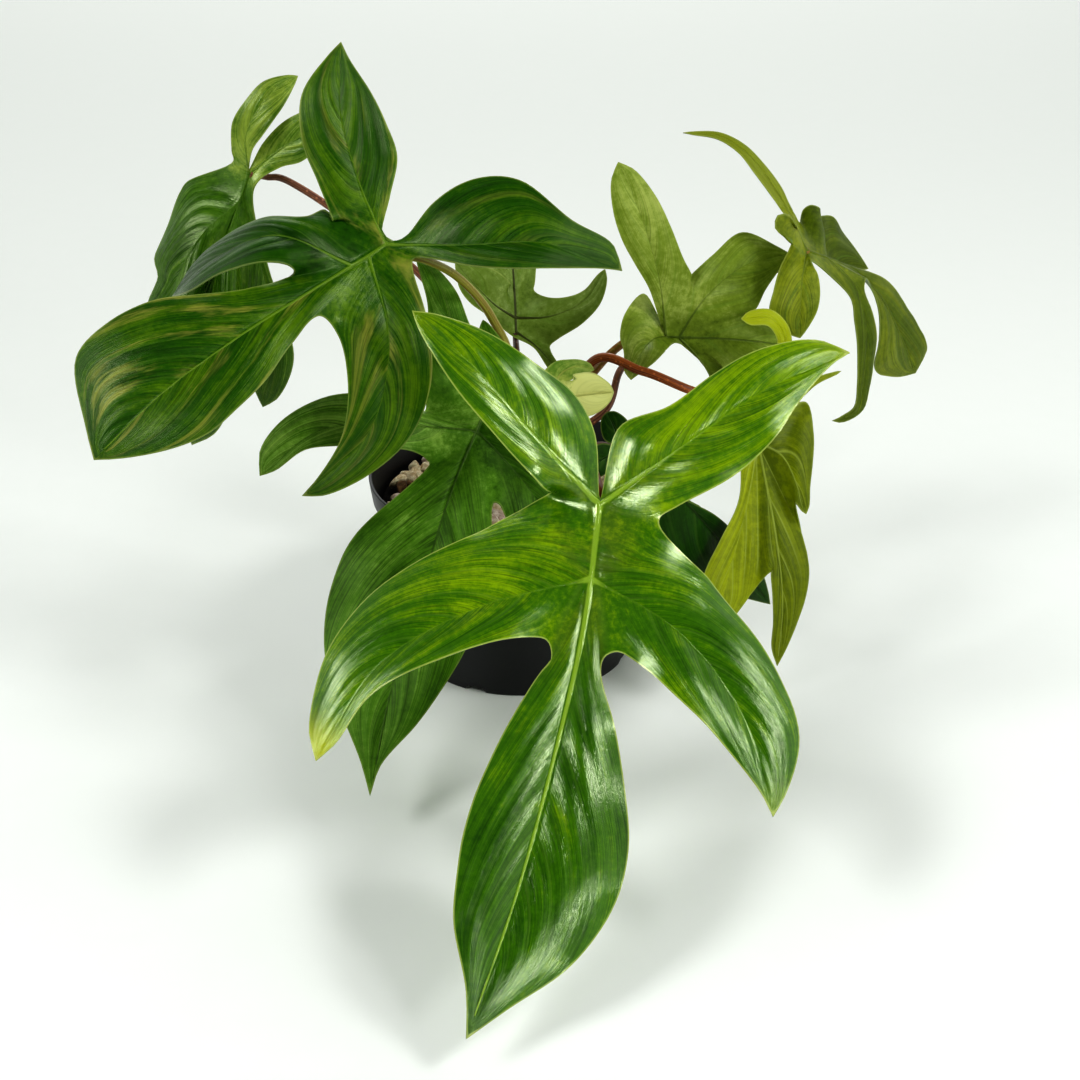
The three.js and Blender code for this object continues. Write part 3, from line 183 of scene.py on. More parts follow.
class Finish:
    """A material whose colour, roughness and relief are worked out by nodes."""

    def __init__(self, name):
        self.material = bpy.data.materials.new(name)
        self.material.use_nodes = True
        self.tree = self.material.node_tree
        self.surface = self.tree.nodes["Principled BSDF"]

    def put(self, socket, value):
        """Link another node's socket, or set a number or a colour."""
        if isinstance(value, bpy.types.NodeSocket):
            self.tree.links.new(value, socket)
        elif isinstance(value, (tuple, list)) and len(value) == 3 and len(socket.default_value) == 4:
            socket.default_value = (*value, 1.0)
        else:
            socket.default_value = value

    def node(self, kind, **values):
        """A node of one kind, with values put on the sockets of these names."""
        node = self.tree.nodes.new("ShaderNode" + kind)
        for name, value in values.items():
            self.put(node.inputs[name], value)
        return node

    def attribute(self, name):
        node = self.node("Attribute")
        node.attribute_name = name
        return node.outputs["Fac"]

    def place(self):
        return self.node("TexCoord").outputs["Object"]

    def maths(self, operation, a, b=0.0):
        node = self.node("Math")
        node.operation = operation
        self.put(node.inputs[0], a)
        self.put(node.inputs[1], b)
        return node.outputs[0]

    def times(self, *values):
        result = values[0]
        for value in values[1:]:
            result = self.maths("MULTIPLY", result, value)
        return result

    def step(self, value, low, high, to_low=0.0, to_high=1.0):
        """Goes smoothly from to_low to to_high while the value goes from low to high."""
        node = self.node("MapRange")
        node.interpolation_type = "SMOOTHSTEP"
        for socket, number in zip(node.inputs, (value, low, high, to_low, to_high)):
            self.put(socket, number)
        return node.outputs[0]

    def vector(self, x, y, z):
        return self.node("CombineXYZ", X=x, Y=y, Z=z).outputs[0]

    def noise(self, vector, scale, detail=2.0, roughness=0.5, distortion=0.0):
        return self.node("TexNoise", Vector=vector, Scale=scale, Detail=detail, Roughness=roughness,
                         Distortion=distortion).outputs["Fac"]

    def dots(self, vector, scale):
        return self.node("TexVoronoi", Vector=vector, Scale=scale).outputs["Distance"]

    def blend(self, amount, a, b):
        """A colour between a and b."""
        node = self.node("Mix")
        node.data_type = "RGBA"
        for index, value in ((0, amount), (6, a), (7, b)):
            self.put(node.inputs[index], value)
        return node.outputs[2]

    def amid(self, amount, a, b):
        """A number between a and b."""
        node = self.node("Mix")
        for index, value in ((0, amount), (2, a), (3, b)):
            self.put(node.inputs[index], value)
        return node.outputs[0]

    def layers(self, colour, *coats):
        """A colour with others laid over it in turn, each given as its share and its colour."""
        for share, coat in coats:
            colour = self.blend(share, colour, coat)
        return colour

    def relief(self, height, distance, strength):
        return self.node("Bump", Height=height, Distance=distance, Strength=strength).outputs["Normal"]

    def wear(self, colour, roughness, normal=None, **constants):
        """Put the results on the surface. Constants go straight onto the shader's own sockets."""
        self.put(self.surface.inputs["Base Color"], colour)
        self.put(self.surface.inputs["Roughness"], roughness)
        if normal is not None:
            self.put(self.surface.inputs["Normal"], normal)
        for key, value in constants.items():
            self.put(self.surface.inputs[key.replace("_", " ")], value)


def shade(red, green, blue):
    """A colour as it looks on a screen, turned into the light that Blender works in."""
    return tuple(v / 12.92 if v <= 0.04045 else ((v + 0.055) / 1.055) ** 2.4 for v in (red, green, blue))


print("shader kit ready, mid grey is", round(shade(0.5, 0.5, 0.5)[0], 3))

# %% Piece kit


def mesh_object(name, points, faces, finish, smooth=True):
    """A mesh piece from points in metres."""
    mesh = bpy.data.meshes.new(name)
    mesh.from_pydata([tuple(p) for p in points], [], [tuple(f) for f in faces])
    mesh.validate()
    mesh.update()
    if smooth:
        mesh.shade_smooth()
    mesh.materials.append(finish.material)
    piece = bpy.data.objects.new(name, mesh)
    bpy.context.collection.objects.link(piece)
    return piece


def dress(piece, node):
    """Attach a piece to the root body and hide the node of the frame that it stands for."""
    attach(piece, "root")
    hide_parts(node)


def give(piece, **values):
    """Store one number a vertex under each name, for the material to read."""
    for name, numbers in values.items():
        layer = piece.data.attributes.new(name, "FLOAT", "POINT")
        layer.data.foreach_set("value", np.asarray(numbers, dtype=np.float32))


print("piece kit ready")

# %% [markdown]
# ## The floor
#
# The studio sweep is a plain pale card. It is not part of the plant, so it is marked as stage.
# A faint mottling in its roughness keeps it from looking like an empty colour.

# %% Floor
FLOOR_HALF = 5.0
card = Finish("pale_card")
card_grain = card.noise(card.place(), 60.0, 3.0)
card_colour = card.blend(card_grain, (0.865, 0.89, 0.86), (0.885, 0.905, 0.88))
card.wear(card_colour, card.step(card_grain, 0.2, 0.8, 0.55, 0.7), Specular_IOR_Level=0.2)
floor_corners = [(x * FLOOR_HALF, y * FLOOR_HALF, 0.0) for x, y in ((-1, -1), (1, -1), (1, 1), (-1, 1))]
floor = mesh_object("floor", floor_corners, [(0, 1, 2, 3)], card, smooth=False)
floor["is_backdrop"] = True
print("floor:", FLOOR_HALF * 2, "m square")

# %% [markdown]
# ## Curves
#
# Veins, margins and stalks are all smooth curves through a few points. Catmull-Rom curves pass
# through the points that they are given, which makes them easy to measure from a photograph. The
# even kind suits veins, whose points are evenly spaced. The centripetal kind suits margins, whose
# points are not: it never loops between two close points.

# %% Curve helpers
CLOSEST_KNOTS = 0.01


def length(v):
    return math.sqrt(float(np.dot(v, v)))


def unit(v):
    return v / max(1e-9, length(v))


def smooth(x):
    x = np.clip(x, 0.0, 1.0)
    return x * x * (3 - 2 * x)


def curve_point(points, t, centripetal=False):
    """The place at t, from 0 to 1, on a Catmull-Rom curve through the points."""
    count = len(points)
    if count == 2:
        return points[0] + (points[1] - points[0]) * t
    place = (count - 1) * t
    i = min(int(place), count - 2)
    w = place - i
    p1, p2 = points[i], points[i + 1]
    p0 = points[i - 1] if i > 0 else 2 * points[0] - points[1]
    p3 = points[i + 2] if i + 2 < count else 2 * points[-1] - points[-2]
    if centripetal:
        d0, d1, d2 = (max(CLOSEST_KNOTS, length(b - a) ** 0.5) for a, b in ((p0, p1), (p1, p2), (p2, p3)))
        m1 = ((p1 - p0) / d0 - (p2 - p0) / (d0 + d1) + (p2 - p1) / d1) * d1
        m2 = ((p2 - p1) / d1 - (p3 - p1) / (d1 + d2) + (p3 - p2) / d2) * d1
    else:
        m1, m2 = (p2 - p0) / 2, (p3 - p1) / 2
    w2, w3 = w * w, w * w * w
    return (2 * w3 - 3 * w2 + 1) * p1 + (w3 - 2 * w2 + w) * m1 + (3 * w2 - 2 * w3) * p2 + (w3 - w2) * m2


def run_along(points):
    """How far each point lies along a polyline."""
    return np.r_[0, np.cumsum(np.linalg.norm(np.diff(points, axis=0), axis=1))]


def even(points, count):
    """The same polyline with evenly spaced points."""
    points = np.asarray(points, float)
    along = run_along(points)
    places = np.linspace(0, along[-1], count)
    return np.stack([np.interp(places, along, points[:, k]) for k in range(points.shape[1])], 1)


def spread(span, count):
    """Evenly spaced places over a span, both ends included."""
    return [span[0] + (span[1] - span[0]) * k / (count - 1) for k in range(count)]


print("half way up a smooth step:", float(smooth(0.5)))

# %% Veins


class Vein:
    """A vein in millimetres, with the direction that the blade faces at its base and at its tip."""

    STRETCH = 0.02

    def __init__(self, line, face):
        self.line = [np.array(p, float) for p in line]
        face = np.array(face, float)
        self.faces = face if face.ndim == 2 else np.stack([face, face])

    def at(self, t):
        return curve_point(self.line, t)

    def face(self, t):
        return unit(self.faces[0] * (1 - t) + self.faces[1] * t)

    def side(self, t):
        """The direction across the blade to the right of the vein."""
        along = unit(self.at(min(1.0, t + self.STRETCH)) - self.at(max(0.0, t - self.STRETCH)))
        return unit(np.cross(along, self.face(t)))


print("a vein's direction is taken over", 2 * Vein.STRETCH, "of its length")

# %% [markdown]
# ## From the photograph to millimetres
#
# Each vein below is read as a few points of the photograph and how far back it lies. A point of
# the picture is a ray from the camera, and its depth picks one place on that ray. The edges are
# read as outlines, and the half width of a lobe is where a line across its vein meets the edge.

# %% Rays through the picture
PICTURE = 1080
CENTRE = PICTURE / 2
FOCAL = CAMERA_LENS / CAMERA_SENSOR * PICTURE
EYE = np.array(CAMERA_PLACE) / MM
AHEAD = np.array([0.0, math.cos(CAMERA_PITCH), -math.sin(CAMERA_PITCH)])
UPWARD = np.array([0.0, math.sin(CAMERA_PITCH), math.cos(CAMERA_PITCH)])
RIGHTWARD = np.array([1.0, 0.0, 0.0])


def ray(u, v):
    return AHEAD + RIGHTWARD * (u - CENTRE) / FOCAL - UPWARD * (v - CENTRE) / FOCAL


def at_depth(u, v, y):
    """The place in millimetres that is seen at a pixel and lies y behind the pot's axis."""
    direction = ray(u, v)
    return EYE + direction * ((y - EYE[1]) / direction[1])


def seen(points):
    """Where points in millimetres appear in the picture."""
    offset = np.atleast_2d(points) - EYE
    distance = offset @ AHEAD
    return np.stack([CENTRE + FOCAL * (offset @ RIGHTWARD) / distance,
                     CENTRE - FOCAL * (offset @ UPWARD) / distance], 1)


print("focal length:", round(FOCAL), "pixels")

# %% Veins and half widths
PICTURE_STEPS = 40
MIDRIB_KNOTS, LOBE_KNOTS = 5, 4
WIDEST = 95.0


def vein_line(reading, depths, knots):
    """A vein's points in space. Its depths are spread evenly along it, and `bow` arches its middle."""
    result = []
    for s, (u, v) in zip(spread((0, 1), PICTURE_STEPS), even(reading["vein"], PICTURE_STEPS)):
        y = np.interp(s, np.linspace(0, 1, len(depths)), depths)
        result.append(at_depth(u, v, y + reading.get("bow", 0) * 4 * s * (1 - s)))
    return even(result, knots)


def crossing(a, b, c, d):
    """How far along the line from a to b it crosses the stretch from c to d, from 0 to 1, or None."""
    r, q, offset = b - a, d - c, c - a
    turn = r[0] * q[1] - r[1] * q[0]
    if turn == 0:
        return None
    on_line = (offset[0] * q[1] - offset[1] * q[0]) / turn
    on_stretch = (offset[0] * r[1] - offset[1] * r[0]) / turn
    return on_line if 0 <= on_line <= 1 and 0 <= on_stretch <= 1 else None


def half_width(vein, t, sign, edge):
    """How far from the vein the edge lies on one side, or None where the edge is out of reach."""
    ends = np.array([vein.at(t), vein.at(t) + vein.side(t) * sign * WIDEST])
    a, b = seen(ends)
    edge = np.asarray(edge, float)
    hits = [crossing(a, b, c, d) for c, d in zip(edge, edge[1:])]
    hits = [hit for hit in hits if hit is not None]
    if not hits:
        return None
    distance = (ends - EYE) @ AHEAD
    near, far = min(hits) * distance[0], (1 - min(hits)) * distance[1]
    return WIDEST * near / (near + far)


def half_widths(vein, reading, side):
    """Places along a vein, and the blade's half width at each."""
    sign = 1 if side == "right" else -1
    span = reading.get(side + "_span", reading["span"])
    if side + "_widths" in reading:
        widths = reading[side + "_widths"]
        return spread(span, len(widths)), list(widths)
    places = spread(span, reading.get(side + "_places", reading["places"]))
    found = [(t, half_width(vein, t, sign, reading[side])) for t in places]
    found = [(t, w) for t, w in found if w is not None]
    widths = list(np.interp(places, [t for t, _ in found], [w for _, w in found]))
    if side + "_tip" in reading:
        widths[-1] = reading[side + "_tip"]
    return places, widths


print("points on a vein: midrib", MIDRIB_KNOTS, "and lobe", LOBE_KNOTS)

# %% A whole leaf
BAY_REACH, BAY_STEPS = 0.6, 61


def bay_point(midrib, point):
    """A point of a bay in space: at its own depth, or else level with the nearest of the midrib."""
    if len(point) == 3:
        return at_depth(*point)
    places = np.linspace(0, BAY_REACH, BAY_STEPS)
    near = min(places, key=lambda t: length(seen(midrib.at(t))[0] - np.array(point)))
    base, normal, direction = midrib.at(near), midrib.face(near), ray(*point)
    return EYE + direction * (np.dot(base - EYE, normal) / np.dot(direction, normal))


def read_leaf(reading):
    """The veins, half widths and bays of one leaf, in millimetres."""
    middle = reading["midrib"]
    line = vein_line(middle, middle["depth"], middle.get("knots", MIDRIB_KNOTS))
    midrib = Vein(line, middle.get("face", reading["face"]))
    lobes = []
    for lobe in reading["lobes"]:
        if lobe == "midrib":
            vein, source = midrib, middle
        else:
            source = lobe
            start = midrib.at(lobe["root"])
            line = vein_line(lobe, [start[1], *lobe["depth"]], lobe.get("knots", LOBE_KNOTS))
            vein = Vein([start, *line[1:]], lobe.get("face", reading["face"]))
        lobes.append({
            "vein": vein, "terminal": vein is midrib, "root": source.get("root", 0),
            "right": half_widths(vein, source, "right"), "left": half_widths(vein, source, "left"),
        })
    bays = [[bay_point(midrib, point) for point in bay] for bay in reading["bays"]]
    return {"midrib": midrib, "middle": reading["lobes"].index("midrib"), "lobes": lobes, "bays": bays}


print("a bay is level with the first", BAY_REACH, "of its midrib")

# %% [markdown]
# ## What the camera saw of each leaf
#
# A leaf of this plant has five lobes: two ears beside the stalk, two side lobes and a long middle
# one, its `midrib`. The small leaf has two. All points are pixels of the picture, across and down.
# `vein` runs from base to tip, and `right` and `left` are the edges beside it. `root` is where on
# the midrib a lobe's vein starts. `depth` and `bow` are in millimetres, and `face` is the way that
# the blade faces. Half widths are taken at so many `places` over a `span` of the vein, and they are
# given outright in millimetres where the photograph hides the edge. `left_tip` is the last of them,
# where a curled tip hides it.
#
# `bays` are the notches after each lobe, and a third number is a point's own depth. `petiole` is the
# stalk: `foot` is its direction and height on the stem. The solids come from nearly these readings.
# Tracing software could find the edges, but a few listed points give cleaner curves.

# %% A shelf for the readings
LEAVES = {}
print("leaves so far:", len(LEAVES))

# %% The front leaf
LEAVES["front"] = dict(
    face=(0, -0.62, 0.78),
    midrib=dict(face=[(-0.2, -0.62, 0.76), (0.48, -0.48, 0.74)], depth=[-135, -280], bow=-6,
                span=(0.42, 0.93), places=6,
                vein=[(600, 505), (592, 565), (582, 641), (570, 693), (553, 762), (536, 824), (520, 882),
                      (505, 933), (492, 974), (480, 1010), (466, 1039)],
                right=[(540, 673), (528, 691), (508, 723), (483, 774), (464, 825), (456, 872), (453, 911),
                       (456, 952), (464, 987), (471, 1006), (471, 1019), (466, 1039)],
                left=[(466, 1039), (476, 1027), (496, 1016), (528, 998), (569, 967), (598, 933), (617, 904),
                      (626, 872), (630, 831), (625, 790), (618, 745), (610, 703), (604, 681), (601, 668)]),
    lobes=[
        dict(root=0, face=(0.25, -0.72, 0.62), depth=[-108], bow=-4, span=(0.2, 0.93), places=5,
             vein=[(600, 505), (566, 475), (515, 412), (448, 339), (412, 311)],
             right=[(594, 489), (595, 470), (597, 447), (593, 424), (584, 404), (563, 382), (515, 351),
                    (476, 324), (448, 315), (431, 314), (412, 311)],
             left=[(412, 311), (421, 336), (438, 364), (467, 403), (505, 447), (532, 479), (547, 491)]),
        dict(root=0.15, face=(-0.25, -0.6, 0.76), depth=[-205], bow=6, span=(0.3, 0.93), places=5,
             left_tip=3,
             vein=[(590, 578), (540, 590), (470, 610), (400, 646), (345, 696), (316, 761)],
             right=[(546, 498), (535, 507), (501, 524), (467, 538), (432, 553), (398, 572), (374, 589),
                    (349, 617), (332, 641), (317, 679), (310, 717), (308, 748), (316, 761)],
             left=[(316, 761), (322, 751), (331, 732), (353, 710), (380, 689), (408, 672), (446, 657),
                   (480, 646), (508, 639), (532, 637), (546, 640)]),
        "midrib",
        dict(root=0.15, face=(0.3, -0.6, 0.74), depth=[-220], bow=6, span=(0.3, 0.93), places=5,
             right_span=(0.45, 0.93), right_places=4,
             vein=[(590, 578), (640, 600), (690, 642), (735, 700), (765, 764), (773, 817)],
             right=[(617, 653), (633, 660), (655, 675), (677, 697), (706, 726), (735, 758), (757, 783),
                    (768, 809), (773, 817)],
             left=[(773, 817), (781, 809), (787, 790), (795, 770), (801, 754), (800, 739), (792, 703),
                   (773, 665), (748, 627), (719, 592), (692, 560), (675, 542), (661, 527)]),
        dict(root=0, face=(-0.2, -0.72, 0.66), depth=[-100], bow=-4, span=(0.2, 0.93), places=5,
             vein=[(600, 505), (631, 483), (694, 439), (770, 387), (850, 353)],
             right=[(661, 515), (675, 508), (694, 499), (723, 483), (751, 462), (774, 441), (788, 422),
                    (799, 402), (816, 379), (828, 366), (845, 357), (850, 353)],
             left=[(850, 353), (837, 344), (818, 340), (790, 342), (770, 346), (742, 356), (723, 367),
                   (703, 381), (675, 402), (655, 419), (646, 417), (636, 416), (617, 429), (608, 448),
                   (604, 467), (608, 488)]),
    ],
    bays=[[(548, 494)], [(546, 640), (551, 660), (540, 673)],
          [(601, 672), (605, 657), (617, 652), (633, 660)], [(659, 521)], [(600, 500)]],
    petiole=dict(radii=(2.2, 1.7), foot=(-80, 91), depth=[-12, -60, -100, -128, -134],
                 seen=[(540, 440), (560, 440), (585, 455), (600, 490), (601, 503)]),
)
print("front:", len(LEAVES["front"]["lobes"]), "lobes")

# %% The upper left leaf
LEAVES["upper_left"] = dict(
    face=(0.08, -0.72, 0.69),
    midrib=dict(face=[(0.08, -0.72, 0.69), (-0.1, -0.75, 0.62)], depth=[-50, -122], bow=-5,
                span=(0.4, 0.95), places=6,
                vein=[(386, 245), (365, 257), (337, 275), (300, 298), (262, 320), (224, 348), (193, 370),
                      (155, 399), (120, 430), (94, 460)],
                right=[(288, 282), (275, 286), (255, 289), (220, 292), (186, 295), (148, 302), (120, 314),
                       (93, 336), (74, 359), (76, 379), (83, 413), (90, 448), (94, 460)],
                left=[(94, 460), (100, 462), (138, 456), (172, 449), (207, 434), (241, 406), (265, 382),
                      (289, 348), (300, 329), (310, 319)]),
    lobes=[
        dict(root=0, face=(0.1, -0.85, 0.5), depth=[-15], bow=-2, span=(0.2, 0.93), places=5,
             vein=[(386, 245), (365, 200), (351, 158), (341, 117), (337, 69), (341, 42)],
             right=[(379, 231), (380, 220), (389, 200), (396, 172), (398, 145), (396, 133), (389, 128),
                    (382, 117), (375, 100), (365, 81), (358, 74), (348, 57), (340, 55), (341, 42)],
             left=[(341, 42), (331, 52), (317, 69), (303, 89), (298, 114), (301, 138), (310, 165),
                   (324, 196), (329, 208)]),
        dict(root=0.12, face=[(0, -0.5, 0.85), (-0.5, -0.2, 0.85)], depth=[-42], bow=-10, span=(0.25, 0.93),
             places=5,
             vein=[(352, 265), (310, 238), (265, 234), (225, 250), (195, 276), (172, 297)],
             right=[(303, 211), (275, 214), (255, 220), (227, 234), (207, 251), (189, 272), (172, 295)],
             left=[(172, 297), (186, 295), (193, 289), (213, 277), (234, 267), (255, 263), (272, 263),
                   (288, 267)]),
        "midrib",
        dict(root=0.06, face=(0.1, -0.8, 0.6), depth=[-95], bow=-8, span=(0.3, 0.93), places=5,
             vein=[(380, 252), (385, 300), (390, 350), (385, 400), (360, 450), (330, 480), (302, 496)],
             right=[(331, 322), (339, 337), (346, 362), (349, 389), (346, 424), (339, 444), (324, 472),
                    (306, 491), (302, 496)],
             left=[(302, 496), (320, 497), (344, 489), (372, 473), (396, 455), (413, 434), (425, 413),
                   (430, 389), (434, 365), (432, 344), (427, 317), (420, 293), (414, 272)]),
        dict(root=0, face=(0, -0.75, 0.66), depth=[-52], bow=-6, span=(0.18, 0.93), places=5,
             vein=[(386, 245), (430, 250), (465, 245), (499, 243), (540, 243), (561, 245), (592, 257),
                   (622, 271)],
             right=[(427, 258), (441, 260), (458, 265), (489, 269), (540, 268), (609, 269), (622, 271)],
             left=[(622, 271), (619, 253), (609, 239), (592, 227), (567, 219), (552, 207), (537, 188),
                   (510, 176), (482, 176), (458, 184), (434, 203), (413, 231)]),
    ],
    bays=[[(325, 210)], [(292, 275)], [(320, 316)], [(413, 260)], [(397, 245), (382, 238)]],
    petiole=dict(radii=(2.3, 1.5), foot=(-165, 93), depth=[-4, -8, -16, -28, -40, -48],
                 seen=[(512, 420), (511, 372), (492, 318), (460, 279), (425, 260), (390, 251)]),
)
print("upper_left:", len(LEAVES["upper_left"]["lobes"]), "lobes")

# %% The lower left leaf
LEAVES["lower_left"] = dict(
    face=(0, -0.66, 0.75),
    midrib=dict(depth=[-40, -155], bow=-4, span=(0.42, 0.93), places=6,
                vein=[(492, 395), (478, 430), (466, 453), (456, 477), (449, 501), (444, 520), (435, 543),
                      (405, 640), (380, 730), (370, 796)],
                right=[(418, 478), (396, 498), (374, 513), (353, 538), (339, 562), (331, 589), (325, 617),
                       (324, 641), (325, 658), (335, 695), (345, 722), (353, 737), (360, 755), (363, 779),
                       (370, 796)],
                left=[(370, 796), (373, 789), (375, 775), (387, 755), (411, 731), (432, 706), (449, 679),
                      (463, 655), (480, 620), (490, 580), (496, 540), (496, 512)]),
    lobes=[
        dict(root=0, face=(0.2, -0.8, 0.55), depth=[-18], span=(0.25, 0.93), places=4,
             vein=[(492, 395), (462, 345), (438, 300), (416, 258)],
             right=[(494, 380), (482, 350), (468, 321), (465, 310), (459, 297), (453, 286), (445, 274),
                    (435, 265), (416, 258)],
             left=[(416, 258), (419, 272), (425, 290), (430, 320), (425, 360), (424, 385), (430, 405)]),
        dict(root=0.1, face=(-0.1, -0.7, 0.7), depth=[-72], bow=-2, span=(0.3, 0.93), places=5,
             left_tip=2.5,
             vein=[(478, 430), (430, 428), (370, 424), (310, 432), (275, 450), (260, 476)],
             right=[(418, 412), (380, 396), (346, 393), (320, 398), (293, 411), (272, 430), (260, 451),
                    (257, 468), (260, 476)],
             left=[(260, 476), (263, 472), (275, 461), (300, 451), (320, 447), (341, 446), (403, 448),
                   (417, 453)]),
        "midrib",
        dict(root=0.1, face=(0.2, -0.66, 0.7), depth=[-100], bow=4, span=(0.35, 0.93), places=4,
             right_span=(0.5, 0.93), right_places=3,
             vein=[(478, 430), (515, 470), (550, 520), (572, 570), (580, 620)],
             right=[(507, 515), (520, 560), (545, 600), (570, 618), (580, 620)],
             left=[(580, 620), (592, 590), (590, 540), (570, 500), (548, 470), (525, 440)]),
        dict(root=0, face=(0, -0.85, 0.5), depth=[-15], span=(0.25, 0.93), places=4,
             vein=[(492, 395), (491, 370), (487, 345), (483, 320)],
             right=[(515, 400), (514, 370), (505, 345), (494, 328), (483, 320)],
             left=[(483, 320), (476, 335), (478, 355), (485, 375)]),
    ],
    bays=[[(425, 411)], [(426, 459), (430, 464), (424, 472)], [(494, 503), (500, 505)], [(517, 415)],
          [(492, 388)]],
    petiole=dict(radii=(2, 1.5), foot=(-125, 87), depth=[-10, -22, -32, -37],
                 seen=[(506, 432), (500, 420), (495, 408), (492, 399)]),
)
print("lower_left:", len(LEAVES["lower_left"]["lobes"]), "lobes")

# %% The back left leaf
LEAVES["back_left"] = dict(
    face=(-0.45, -0.8, 0.3),
    midrib=dict(depth=[30, 8], bow=-4, span=(0.62, 0.93), places=4,
                vein=[(249, 174), (241, 198), (228, 235), (215, 280), (204, 330), (197, 390), (192, 445)],
                right=[(190, 325), (184, 345), (180, 380), (181, 415), (192, 445)],
                left=[(192, 445), (205, 442), (213, 435), (223, 425), (233, 400), (236, 370), (236, 345),
                      (234, 325)]),
    lobes=[
        dict(root=0, face=(-0.2, -0.9, 0.2), depth=[42], bow=-4, span=(0.2, 0.93), places=5,
             vein=[(249, 174), (243, 150), (248, 125), (268, 97), (298, 76)],
             right=[(249, 166), (249, 159), (254, 146), (263, 135), (274, 120), (284, 105), (292, 91),
                    (298, 76)],
             left=[(298, 76), (284, 75), (278, 71), (271, 75), (263, 82), (259, 88), (249, 96), (238, 111),
                   (231, 126), (230, 140), (233, 160)]),
        dict(root=0.1, face=(-0.5, -0.7, 0.45), depth=[5], bow=-2, span=(0.15, 0.93), places=12,
             left_span=(0.75, 0.93), left_places=3,
             vein=[(240, 190), (216, 214), (193, 247), (175, 283), (162, 315), (152, 345)],
             right=[(233, 163), (223, 168), (210, 174), (196, 178), (186, 183), (180, 194), (175, 206),
                    (170, 219), (162, 236), (157, 249), (154, 262), (156, 273), (162, 281), (154, 289),
                    (149, 300), (147, 320), (149, 335), (152, 345)],
             left=[(152, 345), (168, 340), (180, 328), (190, 312)]),
        "midrib",
        dict(root=0.08, face=(-0.3, -0.85, 0.2), depth=[24], span=(0.35, 0.93), places=4,
             right_span=(0.65, 0.93), right_places=3,
             vein=[(243, 182), (252, 230), (268, 290), (278, 350), (263, 407)],
             right=[(238, 325), (245, 340), (251, 360), (255, 397), (263, 407)],
             left=[(263, 407), (278, 398), (289, 384), (295, 365), (293, 344), (282, 310), (275, 285),
                   (268, 265), (256, 217), (253, 191)]),
        dict(root=0, face=(0, -0.9, 0.35), depth=[30], bow=4, span=(0.25, 0.93), places=4,
             vein=[(249, 174), (275, 153), (305, 135), (335, 110)],
             right=[(258, 183), (266, 174), (279, 168), (296, 163), (307, 160), (325, 140), (335, 110)],
             left=[(335, 110), (315, 108), (297, 114), (286, 120), (273, 131), (261, 146), (253, 161)]),
    ],
    bays=[[(233, 162)], [(193, 316)], [(235, 318)], [(254, 188)], [(249, 170)]],
    petiole=dict(radii=(2, 1.4), foot=(155, 88), depth=[8, 20, 34, 38, 33],
                 seen=[(508, 410), (440, 300), (350, 222), (290, 182), (256, 179)]),
)
print("back_left:", len(LEAVES["back_left"]["lobes"]), "lobes")

# %% The leaf behind the middle
LEAVES["back_centre"] = dict(
    face=(0.05, -0.92, 0.35),
    midrib=dict(depth=[60, 92], span=(0.5, 0.93), places=4,
                vein=[(516, 332), (515, 300), (513, 268), (510, 232), (503, 195)],
                right=[(532, 272), (538, 258), (540, 240), (530, 215), (503, 195)],
                left=[(503, 195), (484, 215), (478, 240), (484, 262), (490, 272)]),
    lobes=[
        dict(root=0, face=(0.1, -0.9, 0.3), depth=[52], bow=-2, span=(0.3, 0.93), places=3,
             left_span=(0.5, 0.93), left_places=2,
             vein=[(516, 332), (535, 345), (553, 365), (566, 390)],
             right=[(524, 335), (531, 344), (539, 356), (546, 365), (555, 380), (566, 390)],
             left=[(566, 390), (572, 375), (562, 360), (555, 355), (548, 350)]),
        dict(root=0.1, depth=[68], bow=-4, span=(0.35, 0.93), places=4, left_tip=1.5,
             vein=[(516, 327), (545, 318), (575, 308), (597, 290), (605, 269)],
             right=[(556, 340), (573, 330), (586, 321), (596, 311), (604, 297), (607, 286), (607, 270),
                    (605, 269)],
             left=[(605, 269), (604, 274), (596, 283), (581, 292), (567, 297), (551, 298), (539, 295)]),
        "midrib",
        dict(root=0.1, depth=[70], bow=-2, span=(0.35, 0.93), places=4, right_widths=[12, 12, 9, 4],
             vein=[(515, 325), (495, 305), (475, 285), (455, 262)],
             left=[(455, 262), (456, 275), (459, 285), (462, 298), (477, 307), (490, 318), (502, 326),
                   (509, 333)]),
    ],
    bays=[[(550, 346)], [(534, 290), (535, 282)], [(487, 268)], [(512, 336)]],
    petiole=dict(radii=(1.9, 1.4), foot=(95, 91), depth=[10, 28, 46, 56],
                 seen=[(519, 420), (518, 390), (517, 360), (516, 338)]),
)
print("back_centre:", len(LEAVES["back_centre"]["lobes"]), "lobes")

